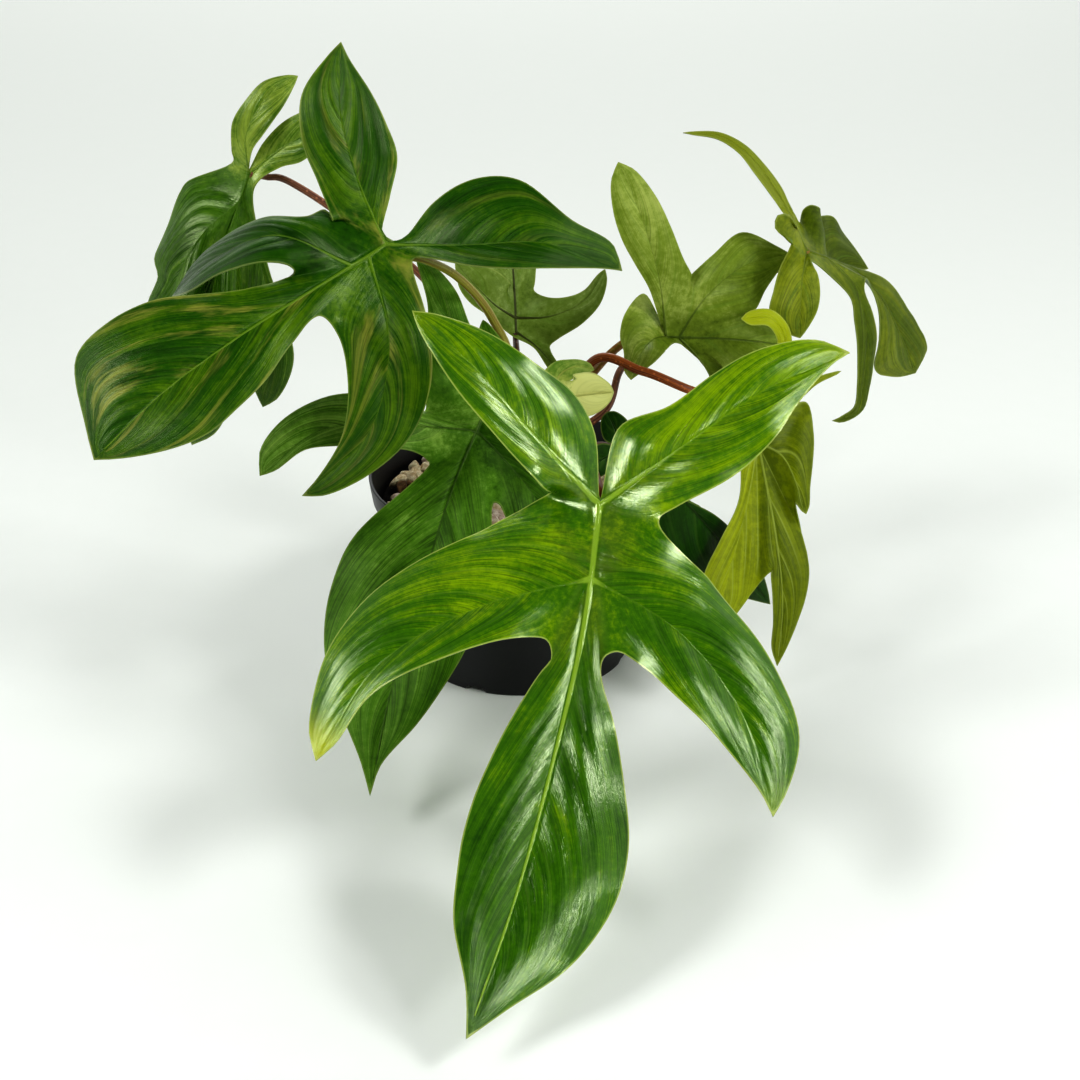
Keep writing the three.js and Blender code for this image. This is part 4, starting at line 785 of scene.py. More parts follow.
# %% The leaf right of the middle
LEAVES["right_centre"] = dict(
    face=(-0.15, -0.8, 0.55),
    midrib=dict(depth=[20, 22], bow=-3, span=(0.5, 0.93), places=4, left_span=(0.78, 0.93), left_places=2,
                vein=[(666, 337), (705, 338), (745, 340), (788, 346)],
                right=[(712, 376), (725, 380), (745, 376), (770, 364), (788, 346)],
                left=[(788, 346), (782, 332), (770, 320), (757, 313), (750, 312)]),
    lobes=[
        dict(root=0, face=(-0.35, -0.85, 0.3), depth=[-8], bow=-6, span=(0.3, 0.93), places=4,
             vein=[(666, 337), (655, 338), (643, 348), (631, 380)],
             right=[(661, 325), (655, 307), (643, 292), (634, 304), (621, 318), (620, 339), (624, 349),
                    (624, 364), (625, 373), (631, 380)],
             left=[(631, 380), (638, 375), (647, 368), (656, 361), (666, 350), (675, 341)]),
        dict(root=0.1, depth=[5], span=(0.35, 0.93), places=4, left_span=(0.55, 0.93), left_places=3,
             vein=[(675, 337), (700, 360), (722, 390), (735, 425)],
             right=[(680, 345), (687, 348), (698, 358), (706, 369), (710, 376), (718, 405), (735, 425)],
             left=[(735, 425), (748, 405), (748, 388), (738, 370), (725, 360)]),
        "midrib",
        dict(root=0.1, depth=[32], bow=-2, span=(0.35, 0.93), places=4, right_span=(0.55, 0.93),
             right_places=3,
             vein=[(674, 334), (700, 303), (737, 268), (790, 254)],
             right=[(750, 312), (756, 309), (764, 292), (772, 280), (778, 272), (790, 254)],
             left=[(790, 254), (786, 251), (772, 244), (761, 239), (750, 232), (740, 233), (728, 242),
                   (715, 253), (702, 266)]),
        dict(root=0, depth=[24], bow=-2, span=(0.28, 0.93), places=5, right_span=(0.42, 0.93),
             right_places=4,
             vein=[(666, 337), (661, 285), (650, 245), (638, 205), (618, 162)],
             right=[(688, 271), (684, 261), (678, 242), (669, 223), (661, 206), (652, 189), (642, 176),
                    (631, 167), (618, 162)],
             left=[(618, 162), (612, 167), (611, 186), (612, 205), (615, 219), (619, 234), (628, 251),
                   (639, 271), (651, 292), (657, 307)]),
    ],
    bays=[[(678, 343)], [(728, 366)], [(748, 312, 21)], [(691, 274, 23)],
          [(661, 328), (655, 309), (644, 294)]],
    petiole=dict(radii=(2, 1.5), foot=(28, 92), depth=[8, 12, 18, 22],
                 seen=[(560, 440), (604, 412), (622, 368), (660, 341)]),
)
print("right_centre:", len(LEAVES["right_centre"]["lobes"]), "lobes")

# %% The far right leaf
LEAVES["far_right"] = dict(
    face=(0.3, -0.5, 0.8),
    midrib=dict(face=[(0.1, -0.5, 0.85), (0.45, -0.85, 0.2)], depth=[15, 52], bow=2, span=(0.5, 0.95),
                places=8,
                vein=[(806, 250), (838, 262), (868, 278), (888, 308), (903, 342), (915, 373)],
                right=[(868, 284), (874, 296), (879, 310), (880, 330), (878, 350), (873, 370), (880, 375),
                       (898, 377), (915, 373)],
                left=[(915, 373), (922, 369), (927, 357), (925, 340), (914, 318), (903, 302), (900, 294),
                      (892, 285), (878, 273), (864, 266)]),
    lobes=[
        dict(root=0, face=[(0.1, -0.8, 0.6), (0.1, -0.95, 0.1)], depth=[2], bow=-3, span=(0.25, 0.93),
             places=4,
             vein=[(806, 250), (802, 279), (800, 305), (800, 338)],
             right=[(788, 246), (785, 254), (778, 273), (772, 295), (769, 312), (774, 325), (790, 335),
                    (800, 338)],
             left=[(800, 338), (808, 328), (816, 314), (820, 298), (820, 281), (815, 267), (806, 259)]),
        dict(root=0.12, face=[(0.5, -0.7, 0.5), (0.6, -0.75, 0.1)], depth=[2], bow=2, knots=9,
             span=(0.3, 0.95), right_widths=[5, 6, 6, 5, 4, 3, 1.5], left_widths=[4, 5, 6, 5, 4, 3, 1.5],
             vein=[(812, 253), (845, 270), (860, 295), (867, 335), (865, 375), (860, 405), (852, 419),
                   (832, 421)]),
        "midrib",
        dict(root=0.12, face=(-0.1, -0.82, 0.56), depth=[44], bow=3, span=(0.3, 0.93), places=5,
             right_widths=[2.5, 3, 2.5, 2, 1],
             vein=[(812, 250), (828, 258), (848, 264), (868, 269)],
             left=[(868, 269), (864, 262), (857, 250), (848, 239), (841, 230), (832, 218), (825, 211)]),
        dict(root=0, face=(0.4, -0.6, 0.7), depth=[40], bow=4, knots=6, span=(0.22, 0.95),
             right_widths=[2.5, 3.5, 3, 3, 2, 0.8], left_widths=[2.5, 4, 4.5, 3, 2, 0.8],
             vein=[(806, 250), (795, 224), (783, 202), (770, 182), (757, 163), (742, 148), (722, 137),
                   (703, 132), (683, 133)]),
    ],
    bays=[[(811, 261, 10)], [(866, 279, 20)], [(866, 271, 34)],
          [(820, 209, 41), (811, 205, 40), (803, 210, 38), (800, 222, 35)],
          [(797, 228, 9), (788, 214, 6), (777, 216, 4), (775, 228, 4), (783, 236, 6), (792, 240, 9)]],
    petiole=dict(radii=(2.2, 1.5), foot=(58, 85), depth=[12, 28, 40, 44, 20],
                 seen=[(545, 415), (610, 354), (690, 312), (760, 276), (804, 254)]),
)
print("far_right:", len(LEAVES["far_right"]["lobes"]), "lobes")

# %% The hanging lime leaf
LEAVES["hanging_right"] = dict(
    face=(0.25, -0.95, 0.15),
    midrib=dict(depth=[-20, -62], bow=-4, span=(0.62, 0.93), places=4,
                vein=[(752, 412), (761, 458), (768, 491), (776, 538), (781, 580), (783, 620), (777, 666)],
                right=[(771, 571), (771, 586), (773, 603), (773, 621), (773, 642), (770, 656), (777, 666)],
                left=[(777, 666), (787, 647), (796, 626), (804, 603), (808, 583), (810, 571), (807, 558),
                      (801, 543), (800, 530)]),
    lobes=[
        dict(root=0, face=[(0.1, -0.9, 0.4), (-0.1, -0.8, 0.6)], depth=[-30], bow=-4, knots=6,
             span=(0.3, 0.95), right_widths=[5, 4, 3, 3.2, 3.4, 2.8], left_widths=[6, 4, 3, 3.2, 3.4, 2.8],
             vein=[(752, 412), (768, 388), (781, 358), (786, 336), (779, 322), (765, 316), (751, 315),
                   (741, 319)]),
        dict(root=0.12, depth=[-64], span=(0.3, 0.93), places=4, left_span=(0.74, 0.93), left_places=2,
             vein=[(758, 440), (748, 500), (732, 560), (712, 645)],
             right=[(749, 470), (748, 477), (744, 488), (735, 508), (724, 530), (713, 557), (704, 572),
                    (698, 610), (712, 645)],
             left=[(712, 645), (728, 625), (737, 611), (744, 603), (752, 593), (763, 581)]),
        "midrib",
        dict(root=0.12, depth=[-44], bow=-2, span=(0.35, 0.93), places=4, right_span=(0.85, 0.95),
             right_widths=[3, 1.5],
             vein=[(758, 440), (782, 455), (797, 485), (806, 514)],
             left=[(806, 514), (809, 508), (809, 496), (811, 479), (813, 460), (813, 447), (814, 427),
                   (811, 412), (807, 399)]),
        dict(root=0, depth=[-20], bow=-3, span=(0.25, 0.95), right_widths=[6, 5, 1.8, 0.6],
             left_widths=[6, 5, 1.8, 0.6],
             vein=[(752, 412), (785, 395), (812, 382), (841, 371)]),
    ],
    bays=[[(742, 440)], [(768, 574), (772, 571)], [(800, 526)], [(806, 402, -25)], [(757, 404)]],
    petiole=dict(radii=(2.2, 1.9), foot=(-8, 85), depth=[2, -6, -14, -18, -18],
                 seen=[(545, 430), (590, 364), (642, 371), (690, 390), (748, 411)]),
)
print("hanging_right:", len(LEAVES["hanging_right"]["lobes"]), "lobes")

# %% The dark leaf low on the right
LEAVES["low_right"] = dict(
    face=(0.2, -0.93, 0.3),
    midrib=dict(depth=[-28, -44, -42, -28, -14], span=(0.45, 0.93), places=5,
                vein=[(622, 448), (660, 476), (700, 518), (740, 565), (770, 604)],
                right=[(655, 530), (668, 560), (700, 585), (748, 599), (770, 604)],
                left=[(770, 604), (765, 575), (745, 545), (726, 523), (707, 509), (692, 500)]),
    lobes=[
        dict(root=0, depth=[-42], knots=3, span=(0.3, 0.93), right_widths=[6, 6, 2], left_widths=[6, 6, 2],
             vein=[(622, 448), (600, 460), (572, 478)]),
        dict(root=0.1, depth=[-78], knots=3, span=(0.35, 0.93), right_widths=[10, 9, 6, 2],
             left_widths=[9, 9, 6, 2],
             vein=[(630, 455), (640, 500), (646, 550)]),
        "midrib",
        dict(root=0.1, depth=[-34], knots=3, span=(0.35, 0.93), right_widths=[8, 8, 6, 2],
             left_widths=[9, 9, 6, 2],
             vein=[(630, 455), (680, 458), (718, 470)]),
        dict(root=0, depth=[-18], knots=3, span=(0.3, 0.93), right_widths=[6, 6, 3], left_widths=[6, 6, 3],
             vein=[(622, 448), (616, 430), (607, 412)]),
    ],
    bays=[[(610, 470)], [(650, 520)], [(672, 490)], [(640, 446)], [(616, 446)]],
    petiole=dict(radii=(1.9, 1.4), foot=(-38, 89), depth=[-6, -16, -24],
                 seen=[(555, 450), (590, 447), (618, 449)]),
)
print("low_right:", len(LEAVES["low_right"]["lobes"]), "lobes")

# %% The small cream leaf
LEAVES["small_cream"] = dict(
    face=(0.05, -0.85, 0.5),
    midrib=dict(depth=[-30, -38], knots=3, span=(0.35, 0.95), places=6,
                vein=[(556, 400), (580, 395), (614, 392)],
                right=[(568, 418), (590, 416), (602, 411), (608, 404), (613, 398), (614, 392)],
                left=[(614, 392), (612, 386), (604, 379), (598, 375), (592, 372), (578, 373), (560, 380)]),
    lobes=[
        "midrib",
        dict(root=0.1, depth=[-24], span=(0.3, 0.93), places=5, right_widths=[4, 4.5, 4.5, 3.5, 1.5],
             vein=[(560, 399), (556, 382), (562, 370), (576, 366), (594, 370)],
             left=[(594, 370), (590, 363), (578, 359), (560, 360), (549, 364), (541, 370), (540, 382)]),
    ],
    bays=[[(576, 379)], [(542, 392), (556, 412)]],
    petiole=dict(radii=(1.5, 1.1), foot=(-58, 95), depth=[-12, -20, -27],
                 seen=[(528, 430), (540, 415), (555, 402)]),
)
print("small_cream:", len(LEAVES["small_cream"]["lobes"]), "lobes")

# %% [markdown]
# ## Building a blade
#
# A blade could be sculpted or modelled as a subdivision surface. Here it is a net of rows that run
# from the veins out to the margin, because such rows know where they are: how far from the vein,
# how near the edge, and along which side vein. Those numbers are stored on every point, and the
# colours and fine lines of the leaf are painted from them, so that the markings follow the growth.

# %% The way along the veins
MIDRIB_STEPS, LOBE_STEPS = 64, 40
TIP_START = 0.96


def vein_path(leaf, i, j):
    """Stations (lobe, vein, step, place) along the veins from the tip of lobe i to the tip of lobe j."""
    a, b = leaf["lobes"][i], leaf["lobes"][j]
    start, end = (MIDRIB_STEPS if lobe["terminal"] else round(lobe["root"] * MIDRIB_STEPS / TIP_START)
                  for lobe in (a, b))
    path = []
    if not a["terminal"]:
        path += [(i, a["vein"], k, TIP_START * k / LOBE_STEPS) for k in range(LOBE_STEPS, 0, -1)]
    onward = 1 if end >= start else -1
    path += [(leaf["middle"], leaf["midrib"], k, TIP_START * k / MIDRIB_STEPS)
             for k in range(start, end + onward, onward)]
    if not b["terminal"]:
        path += [(j, b["vein"], k, TIP_START * k / LOBE_STEPS) for k in range(1, LOBE_STEPS + 1)]
    return [path[0], *path, path[-1]]


print("steps:", MIDRIB_STEPS, "on a midrib,", LOBE_STEPS, "on a lobe")

# %% The margin beside it


def path_place(path, lobe, t):
    """Where a place on a lobe's vein lies along the path, as a fractional index."""
    found = sorted((place, k) for k, (owner, _, _, place) in enumerate(path[1:-1], 1) if owner == lobe)
    return float(np.interp(t, [place for place, _ in found], [k for _, k in found]))


def margin(leaf, i, j, path):
    """The edge of the blade between two tips, one point for each station of the path."""
    a, b = leaf["lobes"][i], leaf["lobes"][j]
    control = [(0.0, a["vein"].at(1.0))]
    for t, width in sorted(zip(*a["left"]), reverse=True):
        control.append((path_place(path, i, t), a["vein"].at(t) - a["vein"].side(t) * width))
    rising = [(path_place(path, j, t), b["vein"].at(t) + b["vein"].side(t) * width)
              for t, width in sorted(zip(*b["right"]))]
    chain = [control[-1][1], *leaf["bays"][i], rising[0][1]]
    run = np.cumsum([0.0] + [length(q - p) for p, q in zip(chain, chain[1:])])
    first, last = control[-1][0], rising[0][0]
    for point, distance in zip(leaf["bays"][i], run[1:-1]):
        control.append((first + (last - first) * distance / run[-1], point))
    control += rising + [(len(path) - 1.0, b["vein"].at(1.0))]
    places = [place for place, _ in control]
    points = [point for _, point in control]
    order = np.interp(range(len(path)), places, range(len(points)))
    return np.array([curve_point(points, k / (len(points) - 1), True) for k in order])


test_leaf = read_leaf(LEAVES["small_cream"])
print("margin points of the small leaf:", len(margin(test_leaf, 0, 1, vein_path(test_leaf, 0, 1))))

# %% [markdown]
# ## What each point knows
#
# Between two tips, `line` counts the side veins, which fan out towards the margin. `main` says how
# near the midrib is, and `calm` how near a bay, where the blade is smooth and has no side veins.
# `lobe` is how pale a lobe is, and `aged` how yellow its tip. `out` and `edge` are true distances
# in millimetres from the nearest vein and from the margin. Counting rows instead would be quicker,
# but rows are wide in one lobe and narrow in the next, and the marks would jump where they meet.

# %% Numbers along one stretch of the leaf
BLADE = {"thickness": 0.5, "rows": 18, "crowding": 1.5, "fan": 95.0, "fan_power": 1.2, "measured_at": 0.35}
LOBE_VEIN = 0.55
NARROW_VEIN, NARROW_WIDTH = 0.3, 12.0
BAY_BLEND, CALM_REACH = 30.0, 14.0
AGED_START, AGED_RUN = 0.84, 0.14
ALONG_KEYS = ("line", "lobe", "tip", "main", "calm", "aged", "along", "radius")


def midrib_share(leaf, path, along, reach_before, reach_after):
    """One where the nearest vein is the midrib, fading to nothing along the veins of the lobes."""
    near = along[np.array([owner == leaf["middle"] for owner, *_ in path])]
    before, after = (near.min() - along) / reach_before, (along - near.max()) / reach_after
    return np.exp(-np.maximum(0, np.maximum(before, after)))


def stretch(leaf, form, i, j, seed):
    """The leaf from the tip of lobe i to the tip of lobe j: path, vein line, edge and painted rows."""
    path = vein_path(leaf, i, j)
    edge = margin(leaf, i, j, path)
    inner = np.array([vein.at(t) for _, vein, _, t in path])
    place = np.array([t for *_, t in path])
    width = np.linalg.norm(edge - inner, axis=1)
    along = run_along(inner + (edge - inner) * BLADE["measured_at"])
    along -= along[int(np.argmin(place))]
    fan = BLADE["fan"] * np.tanh(along / BLADE["fan"])
    main = midrib_share(leaf, path, along, form["reach"][i], form["reach"][j])
    radius = np.interp(place, (0, 1), form["vein"]) * np.minimum(1, NARROW_VEIN + width / NARROW_WIDTH)
    radius = radius * (LOBE_VEIN + (1 - LOBE_VEIN) * main)
    past_bay = smooth(along / BAY_BLEND + 0.5)
    tone, aged = (form[key][i] * (1 - past_bay) + form[key][j] * past_bay for key in ("tone", "aged"))
    aged = aged * smooth((place - AGED_START) / AGED_RUN)
    calm = np.exp(-(along / CALM_REACH) ** 2)
    rows = []
    for s in np.linspace(0, 1, BLADE["rows"] + 1) ** BLADE["crowding"]:
        line = along - fan * s ** BLADE["fan_power"] + form["spacing"] * (seed + i)
        numbers = np.stack((line, tone, place, main, calm, aged, along, radius), 1)
        rows.append((inner + (edge - inner) * s, numbers))
    return path, inner, edge, rows


print("numbers painted along a stretch:", ", ".join(ALONG_KEYS))

# %% The net


def distance_to(lines, points):
    """How far each point lies from the nearest of some lines."""
    dense = np.concatenate([even(line, 4 * len(line)) for line in lines])
    tree = KDTree(len(dense))
    for k, point in enumerate(dense):
        tree.insert(point, k)
    tree.balance()
    return np.array([tree.find(point)[2] for point in points])


def blade_net(leaf, form, seed):
    """Points, faces, rim and painted numbers of a leaf's middle surface, still without relief."""
    store, points, faces, rim, veins, edges = {}, [], [], [], [], []
    painted = {key: [] for key in ALONG_KEYS}
    for i in range(len(leaf["lobes"])):
        j = (i + 1) % len(leaf["lobes"])
        path, inner, edge, rows = stretch(leaf, form, i, j, seed)
        veins.append(inner)
        edges.append(edge)
        columns = []
        for k, (owner, _, step, _) in enumerate(path):
            column = []
            for r, (row, numbers) in enumerate(rows):
                if r == 0:
                    key = (owner, step)
                elif k in (0, len(path) - 1):
                    key = ("tip", i if k == 0 else j, r)
                else:
                    key = (i, k, r)
                if key not in store:
                    store[key] = len(points)
                    points.append(row[k])
                    for name, number in zip(ALONG_KEYS, numbers[k]):
                        painted[name].append(number)
                column.append(store[key])
            columns.append(column)
        for p, q in zip(columns, columns[1:]):
            for r in range(BLADE["rows"]):
                quad = (p[r], p[r + 1], q[r + 1], q[r])
                faces.append(quad[:3] if p[r] == q[r] else quad)
            rim.append((p[-1], q[-1]))
    points = np.array(points)
    painted = {key: np.array(numbers) for key, numbers in painted.items()}
    painted["out"], painted["edge"] = distance_to(veins, points), distance_to(edges, points)
    painted["edge"][[k for pair in rim for k in pair]] = 0
    painted["across"] = painted["out"] / np.maximum(1e-6, painted["out"] + painted["edge"])
    painted["rib"] = painted["out"] / painted.pop("radius")
    return points, faces, rim, painted


print("rows from vein to margin:", BLADE["rows"])

# %% [markdown]
# ## Relief
#
# The blade is not flat between its veins. It arches from each vein to the margin, side veins cross
# it, and it bulges up between them like a quilt. The main veins stand proud as pale ribs, and the
# margin waves a little. A displacement texture could do this, but sine curves of the painted
# numbers follow the growth, and every leaf gets its own seed. Near a bay all of it dies down, and
# the net is drawn smooth there, because the rows of two lobes would otherwise meet in a crease.

# %% Relief across the blade
RELIEF = {
    "camber": 0.2, "puff_power": 1.2, "bay_flatness": 0.9,
    "quilt_power": 0.7, "quilt_level": 0.6, "quilt_width": 22.0, "quilt_skew": 0.8, "quilt_fade": 0.8,
    "wave_width": 18.0, "wave_power": 3, "long_wave": 7.5, "short_wave": 4.1, "short_share": 0.6,
    "rib_height": 0.5, "lobe_rib": 0.3, "groove_depth": 0.35, "groove_place": 1.6, "groove_width": 0.8,
}


def blade_relief(form, painted, seed):
    """How far the blade stands out of its plane, in millimetres. Near a bay it is smooth."""
    line, across, rib, along = (painted[key] for key in ("line", "across", "rib", "along"))
    width = painted["out"] + painted["edge"]
    lively, r = 1 - painted["calm"], RELIEF
    bend = r["camber"] * across * (1 - across) + form["puff"] * np.sin(math.pi * across) ** r["puff_power"]
    bend = bend * (1 - r["bay_flatness"] * painted["calm"])
    side_veins = np.abs(np.sin(math.pi * line / form["spacing"])) ** r["quilt_power"]
    quilt = (side_veins - r["quilt_level"]) * lively
    quilt_height = form["quilt"] * np.minimum(1.0, width / r["quilt_width"])
    quilt_height = quilt_height * np.sin(math.pi * across ** r["quilt_skew"]) ** r["quilt_fade"]
    ripple = np.sin(along / r["long_wave"] + seed * 3)
    ripple = ripple + r["short_share"] * np.sin(along / r["short_wave"] + seed * 5)
    wave_height = form["wave"] * np.minimum(1.0, width / r["wave_width"]) * across ** r["wave_power"]
    ridge = r["rib_height"] * np.clip(1 - rib ** 2, 0, 1)
    ridge = ridge - r["groove_depth"] * np.exp(-((rib - r["groove_place"]) / r["groove_width"]) ** 2)
    ridge = ridge * form["rib"] * (r["lobe_rib"] + (1 - r["lobe_rib"]) * painted["main"])
    return bend * width + quilt * quilt_height + wave_height * ripple * lively + ridge


print("camber:", RELIEF["camber"], "of a lobe's half width")

# %% Smoothing at the bays
EASE = {"rounds": 20, "share": 0.7, "reach_power": 0.3, "reach_gain": 1.4}


def facing(points, faces):
    """The direction that the blade faces at each point."""
    ring = np.array([(*face, face[-1])[:4] for face in faces])
    across = np.cross(points[ring[:, 2]] - points[ring[:, 0]], points[ring[:, 3]] - points[ring[:, 1]])
    normals = np.zeros_like(points)
    for corner in range(4):
        np.add.at(normals, ring[:, corner], across)
    return normals / np.maximum(1e-9, np.linalg.norm(normals, axis=1))[:, None]


def ease_bays(points, faces, rim, calm):
    """Draws each point towards its neighbours where two lobes meet, which takes out the crease."""
    ends = np.array([(a, b) for face in faces for a, b in zip(face, face[1:] + face[:1])])
    a, b = np.r_[ends[:, 0], ends[:, 1]], np.r_[ends[:, 1], ends[:, 0]]
    neighbours = np.maximum(1, np.bincount(a, minlength=len(points)))[:, None]
    share = EASE["share"] * smooth(calm ** EASE["reach_power"] * EASE["reach_gain"])
    share[[k for pair in rim for k in pair]] = 0
    normals = facing(points, faces)
    for _ in range(EASE["rounds"]):
        total = np.stack([np.bincount(a, points[b, k], len(points)) for k in range(3)], 1)
        offset = (total / neighbours - points) * share[:, None]
        points = points + normals * np.sum(offset * normals, axis=1)[:, None]
    return points


print("rounds of smoothing:", EASE["rounds"])

# %% Blade builder


def sharpen_rim(piece, rim, count):
    """The margin stays crisp: without this the last row of each face would shade as if it rolled over."""
    pairs = {(min(a, b), max(a, b)) for a, b in rim}
    pairs |= {(a + count, b + count) for a, b in pairs}
    for edge in piece.data.edges:
        a, b = edge.vertices
        edge.use_edge_sharp = (min(a, b), max(a, b)) in pairs


def blade(name, reading, form, finish, seed):
    """A thin closed leaf: its upper and lower faces, joined along the margin."""
    points, faces, rim, painted = blade_net(read_leaf(reading), form, seed)
    points = ease_bays(points, faces, rim, painted["calm"])
    points += facing(points, faces) * blade_relief(form, painted, seed)[:, None]
    painted.pop("along")
    normals = facing(points, faces)
    half = BLADE["thickness"] / 2
    shell = np.concatenate([points + normals * half, points - normals * half]) * MM
    count = len(points)
    shell_faces = faces + [tuple(k + count for k in reversed(face)) for face in faces]
    shell_faces += [(b, a, a + count, b + count) for a, b in rim]
    piece = mesh_object(name, shell, shell_faces, finish)
    give(piece, under=np.repeat([0.0, 1.0], count), **{key: np.tile(v, 2) for key, v in painted.items()})
    sharpen_rim(piece, rim, count)
    return piece


print("a blade is", BLADE["thickness"], "mm thick")

# %% [markdown]
# ## The finish of a blade
#
# The leaves open cream or lime and turn green as they age, so each keeps streaks of its paler youth.
# A painted map would be easier, but it can't be scaled or reused. Stretched noise gives the same
# streaks: it is read along the side veins, fast across them and slowly outwards. Midribs, margin and
# tips are laid over it as thin masks. The wax is the shader's own mirror layer, tinted a little
# green and as smooth as each leaf's `gloss`. The fine threads are also relief.

# %% Leaf greens
SURFACE_KEYS = ("line", "across", "out", "rib", "edge", "lobe", "tip", "main", "calm", "aged", "under")
STREAKS = {  # narrowness, shortness, seed step, detail, roughness
    "threads": (0.85, 0.10, 0, 4.0, 0.7), "bands": (0.09, 0.045, 5, 4.0, 0.6),
    "dark": (0.95, 0.09, 9, 3.0, 0.65), "cream": (0.05, 0.035, 14, 5.0, 0.65),
}
BAY_MOTTLING, LOBE_CONTRAST, DARK_THREAD = 0.7, 0.5, 0.5
TO_MIDDLE, TO_LIGHT = (-0.14, 0.02), (-0.01, 0.17)


def growth_noise(f, on, kind, seed):
    """Noise drawn out along the side veins."""
    narrowness, shortness, seed_step, detail, roughness = STREAKS[kind]
    place = f.vector(f.times(on["line"], narrowness), f.times(on["out"], shortness), seed + seed_step)
    return f.noise(place, 1.0, detail, roughness)


def leaf_greens(f, on, look, drawn, mottled, seed):
    """Deep, middle and light green by the noise, then streaks of cream and dark threads."""
    drawn = f.amid(f.times(on["calm"], BAY_MOTTLING), drawn, mottled)
    mixed = f.amid(look["mottling"], drawn, mottled)
    mixed = f.maths("ADD", mixed, f.times(f.maths("SUBTRACT", on["lobe"], 0.5), LOBE_CONTRAST))
    cream = growth_noise(f, on, "cream", seed)
    cream_share = f.times(f.step(cream, 0.50, 0.62), f.step(on["lobe"], 0.48, 0.54), look["cream_share"])
    dark = growth_noise(f, on, "dark", seed)
    dark_share = f.times(f.step(dark, 0.48, 0.62), f.maths("SUBTRACT", 1.0, on["calm"]), look["threads"])
    cut = look["cut"]
    return f.layers(
        look["deep"],
        (f.step(mixed, cut + TO_MIDDLE[0], cut + TO_MIDDLE[1]), look["middle"]),
        (f.step(mixed, cut + TO_LIGHT[0], cut + TO_LIGHT[1]), look["light"]),
        (cream_share, look["cream"]),
        (dark_share, tuple(v * DARK_THREAD for v in look["deep"])),
    )


print("numbers that a leaf's finish reads:", len(SURFACE_KEYS))

# %% Veins, margin and tip


def leaf_markings(f, on, look, green, threads, bands):
    """Side veins, the blush beside the midrib, aged tips, midrib, pale margin, brown tip, underside."""
    side_vein = f.maths("ABSOLUTE", f.maths("SINE", f.times(on["line"], math.pi / look["spacing"])))
    side_share = f.times(f.step(side_vein, 0.3, 0.02), f.step(on["across"], 0.95, 0.3), look["side"])
    blush_place = f.times(f.step(on["out"], 20.0, 4.0), f.step(on["tip"], 0.42, 0.16), on["main"])
    blush_share = f.times(blush_place, look["blush_share"], f.step(bands, 0.38, 0.52))
    midrib_paleness = f.step(on["main"], 0.0, 0.7, look["lobe_vein"], look["midrib"])
    return f.layers(
        green,
        (side_share, look["side_colour"]),
        (blush_share, look["blush"]),
        (f.times(on["aged"], f.step(threads, 0.2, 0.6, 0.7, 1.0)), look["aged"]),
        (f.times(f.step(on["rib"], 1.2, 0.5), midrib_paleness), look["vein"]),
        (f.times(f.step(on["edge"], 0.7, 0.25), look["rim_share"]), look["rim"]),
        (f.times(f.step(on["tip"], 0.955, 1.0), f.step(on["edge"], 2.5, 0.0), 0.8), look["tip"]),
        (f.times(on["under"], 0.75), look["under"]),
    )


def leaf_finish(name, look, seed):
    f = Finish(name)
    on = {key: f.attribute(key) for key in SURFACE_KEYS}
    threads, bands = growth_noise(f, on, "threads", seed), growth_noise(f, on, "bands", seed)
    patches, grain = f.noise(f.place(), 42.0, 5.0, 0.65), f.noise(f.place(), 420.0, 3.0, 0.7)
    drawn = f.maths("ADD", f.times(threads, 0.4), f.times(bands, 0.6))
    mottled = f.maths("ADD", f.times(patches, 0.62), f.times(grain, 0.38))
    green = leaf_greens(f, on, look, drawn, mottled, seed)
    colour = leaf_markings(f, on, look, green, threads, bands)
    normal = f.relief(f.maths("ADD", f.times(threads, 0.7), f.times(grain, 0.3)), 0.0006, look["relief"])
    roughness = f.step(threads, 0.3, 0.7, look["gloss"], look["gloss"] + 0.1)
    f.wear(colour, roughness, normal, Specular_IOR_Level=look["shine"], Specular_Tint=look["wax"])
    return f


print("leaf finish ready")

# %% [markdown]
# ## Each leaf's own look and form
#
# Colours are judged from the photograph and named by what they are on the leaf. `cut` is where
# green turns to streak: a low cut gives a lime leaf and a high one a dark leaf. Shares say how much
# of a marking shows. In the forms, `spacing` is the distance between side veins in millimetres,
# `quilt`, `wave` and `rib` are heights, and `puff` swells the middle of each side. `tone` lists how
# pale each lobe is, `aged` how yellow its tip, and `reach` how far the midrib's pale rib runs on
# into its vein, in the order in which the margin passes the lobes.

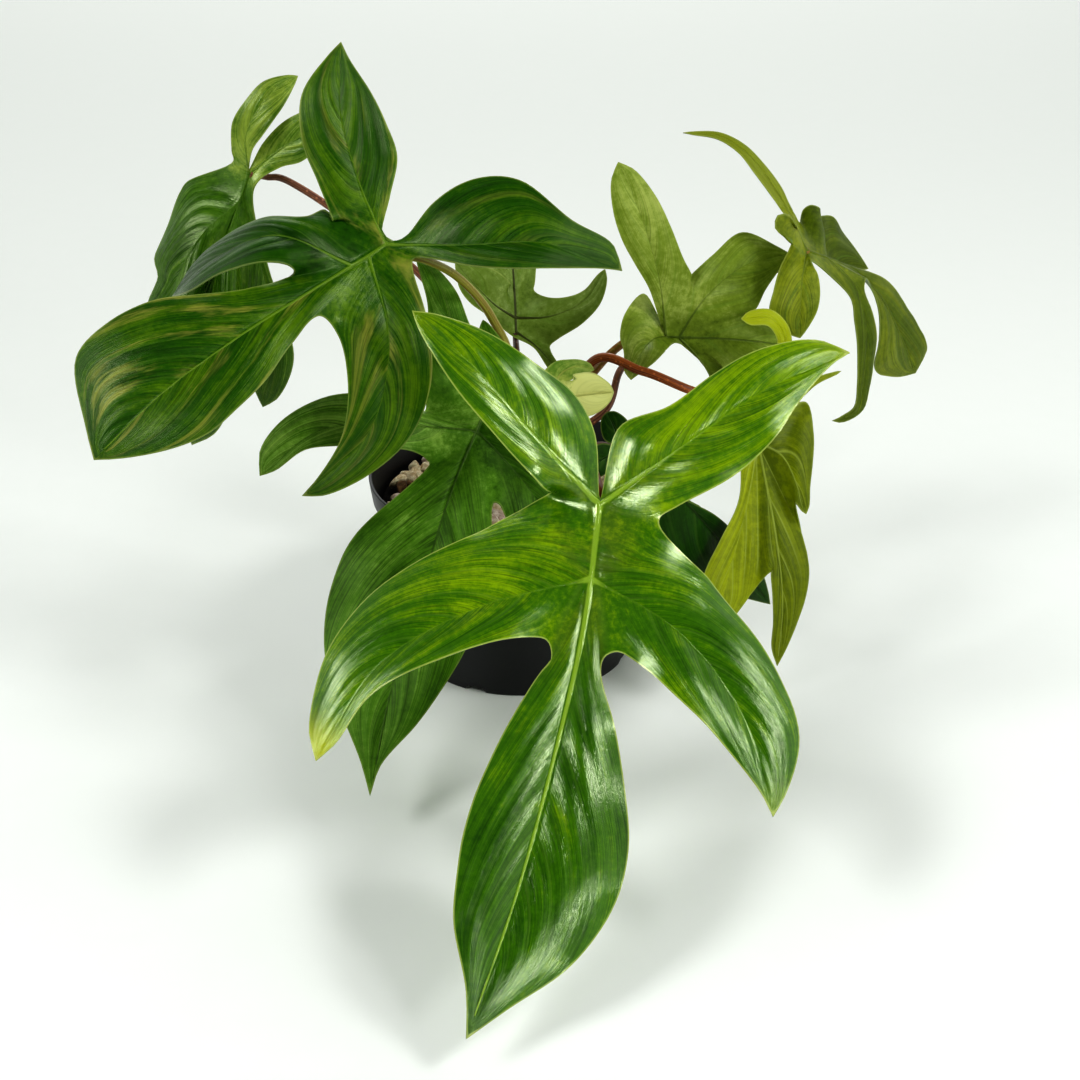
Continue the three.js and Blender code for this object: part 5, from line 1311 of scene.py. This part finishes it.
# %% Looks
LOOK = {
    "deep": shade(0.14, 0.30, 0.02), "middle": shade(0.24, 0.42, 0.05), "light": shade(0.46, 0.58, 0.16),
    "vein": shade(0.34, 0.44, 0.14), "side_colour": shade(0.38, 0.52, 0.18), "rim": shade(0.62, 0.66, 0.38),
    "blush": shade(0.40, 0.42, 0.14), "tip": shade(0.50, 0.38, 0.14), "under": shade(0.40, 0.50, 0.24),
    "aged": shade(0.70, 0.72, 0.06), "cream": shade(0.60, 0.60, 0.28), "wax": (0.9, 1.0, 0.65),
    "cream_share": 0.0, "cut": 0.5, "mottling": 0.4, "threads": 0.4, "side": 0.25, "blush_share": 0.0,
    "midrib": 0.6, "lobe_vein": 0.2, "rim_share": 0.4, "relief": 0.35, "gloss": 0.34, "shine": 0.35,
}
LOOKS = {
    "front": {"deep": shade(0.13, 0.30, 0.0), "middle": shade(0.26, 0.45, 0.0),
              "light": shade(0.55, 0.67, 0.0), "vein": shade(0.56, 0.68, 0.22), "midrib": 0.85,
              "lobe_vein": 0.1, "side": 0.3, "blush_share": 0.3, "rim": shade(0.72, 0.76, 0.42),
              "rim_share": 0.6, "gloss": 0.12, "shine": 0.9, "relief": 0.25, "wax": (0.9, 1.0, 0.7)},
    "upper_left": {"deep": shade(0.07, 0.22, 0.0), "middle": shade(0.15, 0.33, 0.0),
                   "light": shade(0.36, 0.49, 0.03), "vein": shade(0.42, 0.54, 0.14), "midrib": 0.8,
                   "lobe_vein": 0.3, "gloss": 0.26, "shine": 0.36, "tip": shade(0.62, 0.42, 0.16),
                   "cream_share": 0.7},
    # The lower left leaf's palest streak green is partly its own colour and partly a painted highlight for
    # the pale teal sheen on it.
    "lower_left": {"deep": shade(0.19, 0.35, 0.01), "middle": shade(0.35, 0.53, 0.12),
                   "light": shade(0.62, 0.76, 0.36), "vein": shade(0.16, 0.26, 0.06), "cut": 0.54,
                   "gloss": 0.4, "shine": 0.3, "threads": 0.6},
    "back_left": {"deep": shade(0.15, 0.31, 0.0), "middle": shade(0.29, 0.45, 0.06),
                  "light": shade(0.60, 0.68, 0.28), "vein": shade(0.30, 0.44, 0.10), "gloss": 0.24,
                  "shine": 0.6},
    "back_centre": {"deep": shade(0.32, 0.41, 0.10), "middle": shade(0.44, 0.53, 0.22),
                    "light": shade(0.63, 0.70, 0.42), "vein": shade(0.18, 0.18, 0.07), "midrib": 0.85,
                    "mottling": 0.6, "threads": 0.2},
    "right_centre": {"deep": shade(0.33, 0.41, 0.08), "middle": shade(0.48, 0.56, 0.18),
                     "light": shade(0.66, 0.71, 0.38), "vein": shade(0.24, 0.31, 0.08), "mottling": 0.55,
                     "threads": 0.25},
    "far_right": {"deep": shade(0.20, 0.26, 0.0), "middle": shade(0.33, 0.40, 0.03),
                  "light": shade(0.52, 0.56, 0.12), "vein": shade(0.36, 0.42, 0.14)},
    "hanging_right": {"deep": shade(0.34, 0.40, 0.0), "middle": shade(0.48, 0.53, 0.0),
                      "light": shade(0.63, 0.67, 0.06), "vein": shade(0.62, 0.67, 0.32),
                      "side_colour": shade(0.62, 0.67, 0.30), "side": 0.5, "threads": 0.2},
    "low_right": {"deep": shade(0.07, 0.22, 0.0), "middle": shade(0.13, 0.30, 0.0),
                  "light": shade(0.28, 0.40, 0.06), "vein": shade(0.10, 0.18, 0.04), "cut": 0.56,
                  "side": 0.15, "rim_share": 0.3, "shine": 0.25},
    "small_cream": {"deep": shade(0.36, 0.50, 0.16), "middle": shade(0.60, 0.66, 0.32),
                    "light": shade(0.84, 0.85, 0.55), "vein": shade(0.66, 0.66, 0.36), "cut": 0.42,
                    "threads": 0.1, "side": 0.1},
}
print("looks:", ", ".join(LOOKS))

# %% Forms
FORM = {"spacing": 16.0, "quilt": 0.6, "puff": 0.03, "wave": 0.5, "rib": 0.5, "vein": (0.6, 0.2),
        "tone": [0.5] * 5, "aged": [0.0] * 5, "reach": [12.0] * 5}
FORMS = {
    "front": {"spacing": 17.0, "quilt": 0.8, "puff": 0.05, "vein": (1.2, 0.25),
              "tone": [0.58, 0.58, 0.46, 0.5, 0.66], "aged": [0.15, 0.9, 0.0, 0.15, 0.2],
              "reach": [22.0, 3.0, 12.0, 3.0, 22.0]},
    "upper_left": {"spacing": 13.0, "quilt": 0.9, "tone": [0.62, 0.42, 0.58, 0.58, 0.5]},
    # The lower left leaf's first tone, its upper ear, is raised as a painted sheen: the ear is painted
    # paler for the grey-green shine on it.
    "lower_left": {"tone": [0.6, 0.7, 0.56, 0.4, 0.5]},
    "back_left": {"spacing": 8.0, "quilt": 1.3, "tone": [0.7, 0.42, 0.42, 0.5, 0.66]},
    "right_centre": {"tone": [0.6, 0.42, 0.48, 0.5, 0.6]},
    "far_right": {"tone": [0.7, 0.5, 0.58, 0.48, 0.85]},
    "hanging_right": {"tone": [0.95, 0.66, 0.4, 0.35, 0.5]},
    "small_cream": {"spacing": 7.0, "quilt": 0.3, "tone": [0.9, 0.2]},
}
print("leaves with a form of their own:", len(FORMS))

# %% Make the ten blades
FINISH_SEED, FORM_SEED = 3.7, 1.3
for number, (name, reading) in enumerate(LEAVES.items()):
    form = {**FORM, **FORMS.get(name, {})}
    look = {**LOOK, **LOOKS[name], "spacing": form["spacing"]}
    finish = leaf_finish(name + "_green", look, number * FINISH_SEED)
    piece = blade(name + "_blade", reading, form, finish, number * FORM_SEED)
    dress(piece, "leaf_" + name)
    print(piece.name, len(piece.data.polygons), "faces")

# %% [markdown]
# ## The stalks
#
# Each petiole leaves the stem through a swollen foot, thins along its length and ends in a short
# thick joint that turns the blade to the light. A bevelled curve would give an even tube. Rings of
# points along the curve let the radius follow that growth, and keep the stalk one closed mesh.

# %% The way of a stalk
STEM_RADIUS = 6.0
STALK = {"sides": 20, "steps": 90, "foot_gap": 0.6, "foot_run": 6.0, "neck": 6.0, "neck_back": 4.0,
         "foot_swelling": 0.9, "foot_length": 0.05, "neck_swelling": 0.22, "neck_length": 0.035,
         "slimness": 0.93, "look_ahead": 0.01, "tuck": 0.2}


def stalk_line(reading, midrib):
    """Points in millimetres from the stem to just under the blade's base."""
    petiole = reading["petiole"]
    angle, height = petiole["foot"]
    outward = np.array([math.cos(math.radians(angle)), math.sin(math.radians(angle)), 0.0])
    start = outward * (STEM_RADIUS + STALK["foot_gap"]) + [0, 0, height]
    route = [at_depth(u, v, y) for (u, v), y in zip(petiole["seen"], petiole["depth"])]
    top, outlook = midrib.at(0), midrib.face(0)
    back = unit(route[-2] - top)
    neck = top - outlook * STALK["neck"] + back * STALK["neck_back"]
    bend = start + outward * STALK["foot_run"] + [0, 0, 1]
    return [start, bend, *route[1:-1], neck, top - outlook * STALK["tuck"]]


print("stem radius:", STEM_RADIUS, "mm")

# %% Stalk builder


def stalk(name, line, radii, finish):
    """A closed tube of rings. Each ring keeps the last one's upward side, so the tube doesn't twist."""
    sides, steps, bit = STALK["sides"], STALK["steps"], STALK["look_ahead"]
    turns = np.linspace(0, 2 * math.pi, sides, endpoint=False)
    points, along, around = [], [], []
    up = np.array([0.3, 0.2, 1.0])
    for k in range(steps + 1):
        t = k / steps
        centre = curve_point(line, t)
        ahead = unit(curve_point(line, min(1, t + bit)) - curve_point(line, max(0, t - bit)))
        up = unit(up - ahead * np.dot(up, ahead))
        side = np.cross(ahead, up)
        swelling = STALK["foot_swelling"] * math.exp(-t / STALK["foot_length"])
        swelling += STALK["neck_swelling"] * math.exp(-((1 - t) / STALK["neck_length"]) ** 2)
        radius = (radii[0] + (radii[1] - radii[0]) * t) * (STALK["slimness"] + swelling)
        for turn in turns:
            points.append(centre + (side * math.cos(turn) + up * math.sin(turn)) * radius)
            along.append(t)
            around.append(math.sin(turn))
    last = steps * sides
    faces = []
    for ring in range(0, last, sides):
        for k in range(sides):
            after = (k + 1) % sides
            faces.append((ring + k, ring + after, ring + after + sides, ring + k + sides))
    faces += [tuple(reversed(range(sides))), tuple(last + k for k in range(sides))]
    piece = mesh_object(name, np.array(points) * MM, faces, finish)
    give(piece, along=along, around=around)
    return piece


print("rings on a stalk:", STALK["steps"] + 1)

# %% [markdown]
# ## The finish of a stalk
#
# The stalks are olive to rust brown, with fine lengthwise streaks and paler specks where the skin
# has corked. Noise stretched along the stalk gives the streaks, and small dots give the specks.

# %% Stalk finish


def stalk_finish(name, skin, streak, foot, seed):
    f = Finish(name)
    along, around = f.attribute("along"), f.attribute("around")
    streaks = f.noise(f.vector(f.times(along, 3.0), f.times(around, 4.0), seed), 1.0, 3.0, 0.6)
    specks = f.step(f.dots(f.place(), 420.0), 0.28, 0.16)
    corked = tuple(min(1.0, v * 1.8 + 0.02) for v in skin)
    colour = f.layers(skin, (f.step(streaks, 0.4, 0.62), streak), (f.times(specks, 0.5), corked),
                      (f.step(along, 0.22, 0.02), foot))
    normal = f.relief(f.maths("ADD", streaks, f.times(specks, 0.5)), 0.0004, 0.6)
    f.wear(colour, f.step(streaks, 0.2, 0.8, 0.32, 0.5), normal, Coat_Weight=0.2, Coat_Roughness=0.2)
    return f


RUST, DARK_RUST = shade(0.62, 0.34, 0.10), shade(0.42, 0.20, 0.08)
OLIVE, PALE_OLIVE = shade(0.52, 0.46, 0.14), shade(0.62, 0.62, 0.26)
WINE, DARK_WINE = shade(0.58, 0.38, 0.26), shade(0.34, 0.20, 0.14)
BLACK_WINE, FOOT_GREEN = shade(0.14, 0.08, 0.06), shade(0.34, 0.36, 0.14)
STALK_SKINS = {
    "front": (RUST, DARK_RUST), "upper_left": (OLIVE, PALE_OLIVE), "lower_left": (WINE, DARK_WINE),
    "back_left": (WINE, DARK_WINE), "back_centre": (DARK_WINE, BLACK_WINE),
    "right_centre": (WINE, DARK_WINE), "far_right": (OLIVE, RUST), "hanging_right": (RUST, DARK_RUST),
    "low_right": (WINE, DARK_WINE), "small_cream": (OLIVE, PALE_OLIVE),
}
print("skins:", len(set(STALK_SKINS.values())))

# %% Make the ten stalks
SKIN_SEED = 2.3
for number, (name, reading) in enumerate(LEAVES.items()):
    finish = stalk_finish(name + "_stalk_skin", *STALK_SKINS[name], FOOT_GREEN, number * SKIN_SEED)
    line = stalk_line(reading, read_leaf(reading)["midrib"])
    piece = stalk(name + "_stalk", line, reading["petiole"]["radii"], finish)
    dress(piece, "petiole_" + name)
print("stalks:", len(STALK_SKINS))

# %% [markdown]
# ## The pot
#
# A thin black nursery pot, blown or injection moulded: tapered wall, deeper rim band and a foot with
# small drainage notches. Its outline is turned round the axis, which is how its mould was made. The
# corners are rounded with extra rings, because a thin bright line on them is what shows a soft edge.

# %% Turning


def turned(profile, sides, shape=None):
    """Points and faces of a body turned round Z from (radius, height) pairs that start and end on it."""
    points, faces = [(0.0, 0.0, profile[0][1]), (0.0, 0.0, profile[-1][1])], []
    rings = profile[1:-1]
    for radius, height in rings:
        for k in range(sides):
            turn = 2 * math.pi * k / sides
            r, z = shape(radius, height, turn) if shape else (radius, height)
            points.append((r * math.cos(turn), r * math.sin(turn), z))
    starts = [2 + ring * sides for ring in range(len(rings))]
    for k in range(sides):
        after = (k + 1) % sides
        faces.append((0, starts[0] + after, starts[0] + k))
        for low, high in zip(starts, starts[1:]):
            faces.append((low + k, low + after, high + after, high + k))
        faces.append((1, starts[-1] + k, starts[-1] + after))
    return np.array(points), faces


ARC_STEPS, ARC_SHARE = 3, 0.45


def rounded(profile, radius):
    """The profile with each inner corner cut by a short arc, at most this share of the way along."""
    result = [profile[0]]
    for before, corner, after in zip(profile, profile[1:], profile[2:]):
        before, corner, after = (np.array(p, float) for p in (before, corner, after))
        reach = min(radius, length(before - corner) * ARC_SHARE, length(after - corner) * ARC_SHARE)
        p, q = corner + unit(before - corner) * reach, corner + unit(after - corner) * reach
        for k in range(ARC_STEPS + 1):
            t = k / ARC_STEPS
            result.append(tuple((1 - t) ** 2 * p + 2 * t * (1 - t) * corner + t * t * q))
    return result + [profile[-1]]


print("points of a turned cone:", len(turned([(0, 0), (1, 0), (0, 1)], 8)[0]))

# %% Pot outline
POT = {"height": 85.0, "foot_radius": 50.0, "shoulder_radius": 62.5, "rim_radius": 66.0, "rim_depth": 11.0,
       "wall": 1.4, "corner": 0.6, "sides": 192}
NOTCH = {"count": 8, "half_width": 4.5, "height": 2.2, "depth": 3.0, "edge": 1.2}


def notched(radius, height, turn):
    """Lifts the foot's edge where a drainage notch is."""
    pitch = 2 * math.pi / NOTCH["count"]
    offset = abs((turn % pitch) - pitch / 2) * POT["foot_radius"]
    inside = radius > POT["foot_radius"] - NOTCH["depth"] and height < NOTCH["height"]
    lift = NOTCH["height"] * float(smooth((NOTCH["half_width"] - offset) / NOTCH["edge"] + 0.5))
    return radius, max(height, lift) if inside else height


foot, shoulder_radius, rim = POT["foot_radius"], POT["shoulder_radius"], POT["rim_radius"]
wall, top = POT["wall"], POT["height"]
shoulder = top - POT["rim_depth"]
outer_line = [(0, 0), (foot - NOTCH["depth"], 0), (foot - NOTCH["depth"] + 0.3, 0), (foot, 0),
              (foot + 0.5, NOTCH["height"] + 0.6), (shoulder_radius, shoulder - 0.5),
              (rim - 1.5, shoulder + 0.5), (rim, top)]
inner_line = [(rim - wall, top), (shoulder_radius - wall, shoulder), (foot - wall, wall), (0, wall)]
pot_profile = rounded(outer_line + inner_line, POT["corner"])
print("pot outline:", len(pot_profile), "rings")

# %% [markdown]
# ## Black plastic
#
# The plastic is a satin black: a little blue in the light, with a faint orange-peel grain and fine
# pale scuffs. A flat black would hide the pot's form. All of it is noise at three sizes.

# %% Pot finish
plastic = Finish("black_plastic")
grain = plastic.noise(plastic.place(), 900.0, 2.0)
cloud = plastic.noise(plastic.place(), 22.0, 4.0, 0.6)
scuff = plastic.noise(plastic.place(), 260.0, 3.0, 0.7, 0.6)
plastic_colour = plastic.layers(
    shade(0.075, 0.078, 0.085),
    (plastic.step(cloud, 0.45, 0.8), shade(0.12, 0.122, 0.125)),
    (plastic.times(plastic.step(scuff, 0.66, 0.78), 0.25), shade(0.30, 0.29, 0.27)),
)
plastic_grain = plastic.maths("ADD", plastic.times(grain, 0.4), plastic.times(scuff, 0.3))
plastic_normal = plastic.relief(plastic_grain, 0.0003, 0.35)
plastic.wear(plastic_colour, plastic.step(cloud, 0.3, 0.75, 0.36, 0.5), plastic_normal)
pot_points, pot_faces = turned(pot_profile, POT["sides"], notched)
pot = mesh_object("nursery_pot", pot_points * MM, pot_faces, plastic)
dress(pot, "pot")
print("pot:", [round(v / MM, 1) for v in pot.dimensions])

# %% [markdown]
# ## Bark and pumice
#
# The mix is coarse: tan pumice, brown bark and a few pinkish stones, thumbnail size, over a near-black
# bed that shows in the gaps. Scattered instances would be quick but could not be one mesh. Here each
# chip is a small sphere pushed into a blunt rock by a few flat cuts, and all the chips are one mesh.

# %% A chip
CHIP = {"count": 300, "sizes": (3.0, 6.2), "cuts": 9, "cut_places": (0.55, 0.85), "cut_share": 0.94,
        "widths": (0.6, 0.9), "heights": (0.5, 0.75), "wall_gap": 0.5, "sink": 2, "scatter": (-2.5, 2.0)}
chip_dice = random.Random(7)

ball = bmesh.new()
bmesh.ops.create_icosphere(ball, subdivisions=3, radius=1.0)
BALL_POINTS = np.array([tuple(v.co) for v in ball.verts])
BALL_FACES = [tuple(v.index for v in face.verts) for face in ball.faces]
ball.free()


def random_direction(dice, size):
    return unit(np.array([dice.gauss(0, 1) for _ in range(size)]))


def random_turn(dice):
    """A rotation matrix from a random quaternion."""
    w, x, y, z = random_direction(dice, 4)
    return np.array([[1 - 2 * (y * y + z * z), 2 * (x * y - z * w), 2 * (x * z + y * w)],
                     [2 * (x * y + z * w), 1 - 2 * (x * x + z * z), 2 * (y * z - x * w)],
                     [2 * (x * z - y * w), 2 * (y * z + x * w), 1 - 2 * (x * x + y * y)]])


def chip(dice, size, place):
    points = BALL_POINTS.copy()
    for _ in range(CHIP["cuts"]):
        normal = random_direction(dice, 3)
        beyond = np.maximum(0, points @ normal - dice.uniform(*CHIP["cut_places"]))
        points -= beyond[:, None] * normal * CHIP["cut_share"]
    points *= np.array([1.0, dice.uniform(*CHIP["widths"]), dice.uniform(*CHIP["heights"])])
    return points @ random_turn(dice).T * size + place


print("faces of a chip:", len(BALL_FACES))

# %% The bed and the chips on it
SOIL_TOP = 76.0
BED = {"depth": 4.0, "gap": 0.6, "lift": 0.4, "floor_level": 2, "crown": 1.0, "sides": 96}
CHIP_TONES = [0.2, 0.35, 0.5, 0.65, 0.8, 1.0]
GOLDEN_TURN = math.pi * (3 - math.sqrt(5))
lumps = []


def mix_radius(height):
    """The inside of the pot at a height."""
    return foot + (shoulder_radius - foot) * height / shoulder - wall


bed_top, bed_floor = SOIL_TOP - BED["depth"], wall + BED["lift"]
bed_profile = [(0, bed_floor), (mix_radius(BED["floor_level"]) - BED["gap"], bed_floor),
               (mix_radius(bed_top) - BED["gap"], bed_top), (0, bed_top + BED["crown"])]
lumps.append((*turned(bed_profile, BED["sides"]), 0.0, 0.0))
for k in range(CHIP["count"]):
    size = chip_dice.uniform(*CHIP["sizes"])
    distance = (mix_radius(SOIL_TOP) - size - CHIP["wall_gap"]) * math.sqrt((k + 0.5) / CHIP["count"])
    if distance < STEM_RADIUS + size:
        continue
    turn = k * GOLDEN_TURN
    height = SOIL_TOP - CHIP["sink"] + chip_dice.uniform(*CHIP["scatter"])
    place = np.array([distance * math.cos(turn), distance * math.sin(turn), height])
    tone = chip_dice.choice(CHIP_TONES)
    lumps.append((chip(chip_dice, size, place), BALL_FACES, tone, chip_dice.random()))
print("chips:", len(lumps) - 1)

# %% Finish of the mix
mix = Finish("bark_and_pumice")
stone_tone, stone_kind = mix.attribute("tone"), mix.attribute("chip")
pits = mix.noise(mix.place(), 420.0, 4.0, 0.65)
wash = mix.noise(mix.place(), 140.0, 3.0)
bark = mix.blend(mix.step(pits, 0.35, 0.65), shade(0.28, 0.20, 0.13), shade(0.52, 0.40, 0.27))
pumice = mix.blend(mix.step(pits, 0.35, 0.65), shade(0.76, 0.67, 0.53), shade(0.95, 0.91, 0.80))
pinkish = mix.blend(mix.step(pits, 0.4, 0.6), shade(0.76, 0.66, 0.60), shade(0.94, 0.88, 0.84))
mix_colour = mix.layers(
    bark,
    (mix.step(stone_tone, 0.28, 0.38), pumice),
    (mix.step(stone_kind, 0.84, 0.88), pinkish),
    (mix.times(mix.step(wash, 0.5, 0.7), 0.4), shade(0.34, 0.24, 0.15)),
    # The bed, the only piece of tone zero, is near black where it shows in the gaps between chips.
    (mix.step(stone_tone, 0.1, 0.02), shade(0.13, 0.09, 0.06)),
)
mix.wear(mix_colour, 0.85, mix.relief(pits, 0.0012, 0.8))
print("mix nodes:", len(mix.tree.nodes))

# %% Make the potting mix
starts = np.cumsum([0] + [len(points) for points, *_ in lumps])
soil_points = np.concatenate([points for points, *_ in lumps])
soil_faces = [tuple(k + start for k in face)
              for start, (_, faces, *_) in zip(starts, lumps) for face in faces]
soil = mesh_object("potting_mix", soil_points * MM, soil_faces, mix)
give(soil, tone=np.concatenate([[tone] * len(points) for points, _, tone, _ in lumps]),
     chip=np.concatenate([[kind] * len(points) for points, _, _, kind in lumps]))
dress(soil, "soil")
print("potting mix:", len(soil.data.polygons), "faces")

# %% [markdown]
# ## The stem
#
# Under the feet of the stalks the stem is short, thick and ringed by the scars of old leaves. It is
# turned like the pot, then wobbled a little so that it does not look machined.

# %% Stem
STEM = {"bottom": 42.0, "top": 99.0, "rings": 90, "sides": 48, "scar_step": 5.5, "scar_depth": 0.5}
STEM_WOBBLES = ((0.12, 3, 0.4), (0.08, 7, -1.0))


def grown(radius, height, turn):
    """Leaf scars as shallow rings, and wobbles of a size, so many lobes and so much twist."""
    ring = 1 - 0.5 * math.cos(2 * math.pi * height / STEM["scar_step"])
    wobble = sum(size * math.sin(turn * lobes + height * twist) for size, lobes, twist in STEM_WOBBLES)
    return max(0.0, radius - STEM["scar_depth"] * ring + wobble * min(1.0, radius / 3)), height


stem_heights = np.linspace(STEM["bottom"], STEM["top"] - 2, STEM["rings"])
stem_profile = [(0, STEM["bottom"]), *[(STEM_RADIUS, h) for h in stem_heights],
                (STEM_RADIUS - 1.2, STEM["top"] - 0.6), (STEM_RADIUS - 3, STEM["top"]), (0, STEM["top"])]
cork = Finish("green_cork")
cork_rings = cork.noise(cork.place(), 180.0, 4.0, 0.65)
cork_colour = cork.blend(cork.step(cork_rings, 0.4, 0.65), shade(0.36, 0.38, 0.15), shade(0.50, 0.40, 0.22))
cork.wear(cork_colour, 0.6, cork.relief(cork_rings, 0.0008, 0.8))
stem_points, stem_faces = turned(stem_profile, STEM["sides"], grown)
stem = mesh_object("stem_and_scars", stem_points * MM, stem_faces, cork)
dress(stem, "stem")
print("stem:", [round(v / MM, 1) for v in stem.dimensions])

# %% [markdown]
# ## Last measurements
#
# The dressed plant has to be the size of the imported one. Each axis prints how far the boxes differ.

# %% Sizes and finish
dressed_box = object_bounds()
for axis, label in enumerate("XYZ"):
    low, high = ((dressed_box[k][axis] - cad_box[k][axis]) / MM for k in (0, 1))
    print(label, "low", round(low, 1), "mm, high", round(high, 1), "mm")
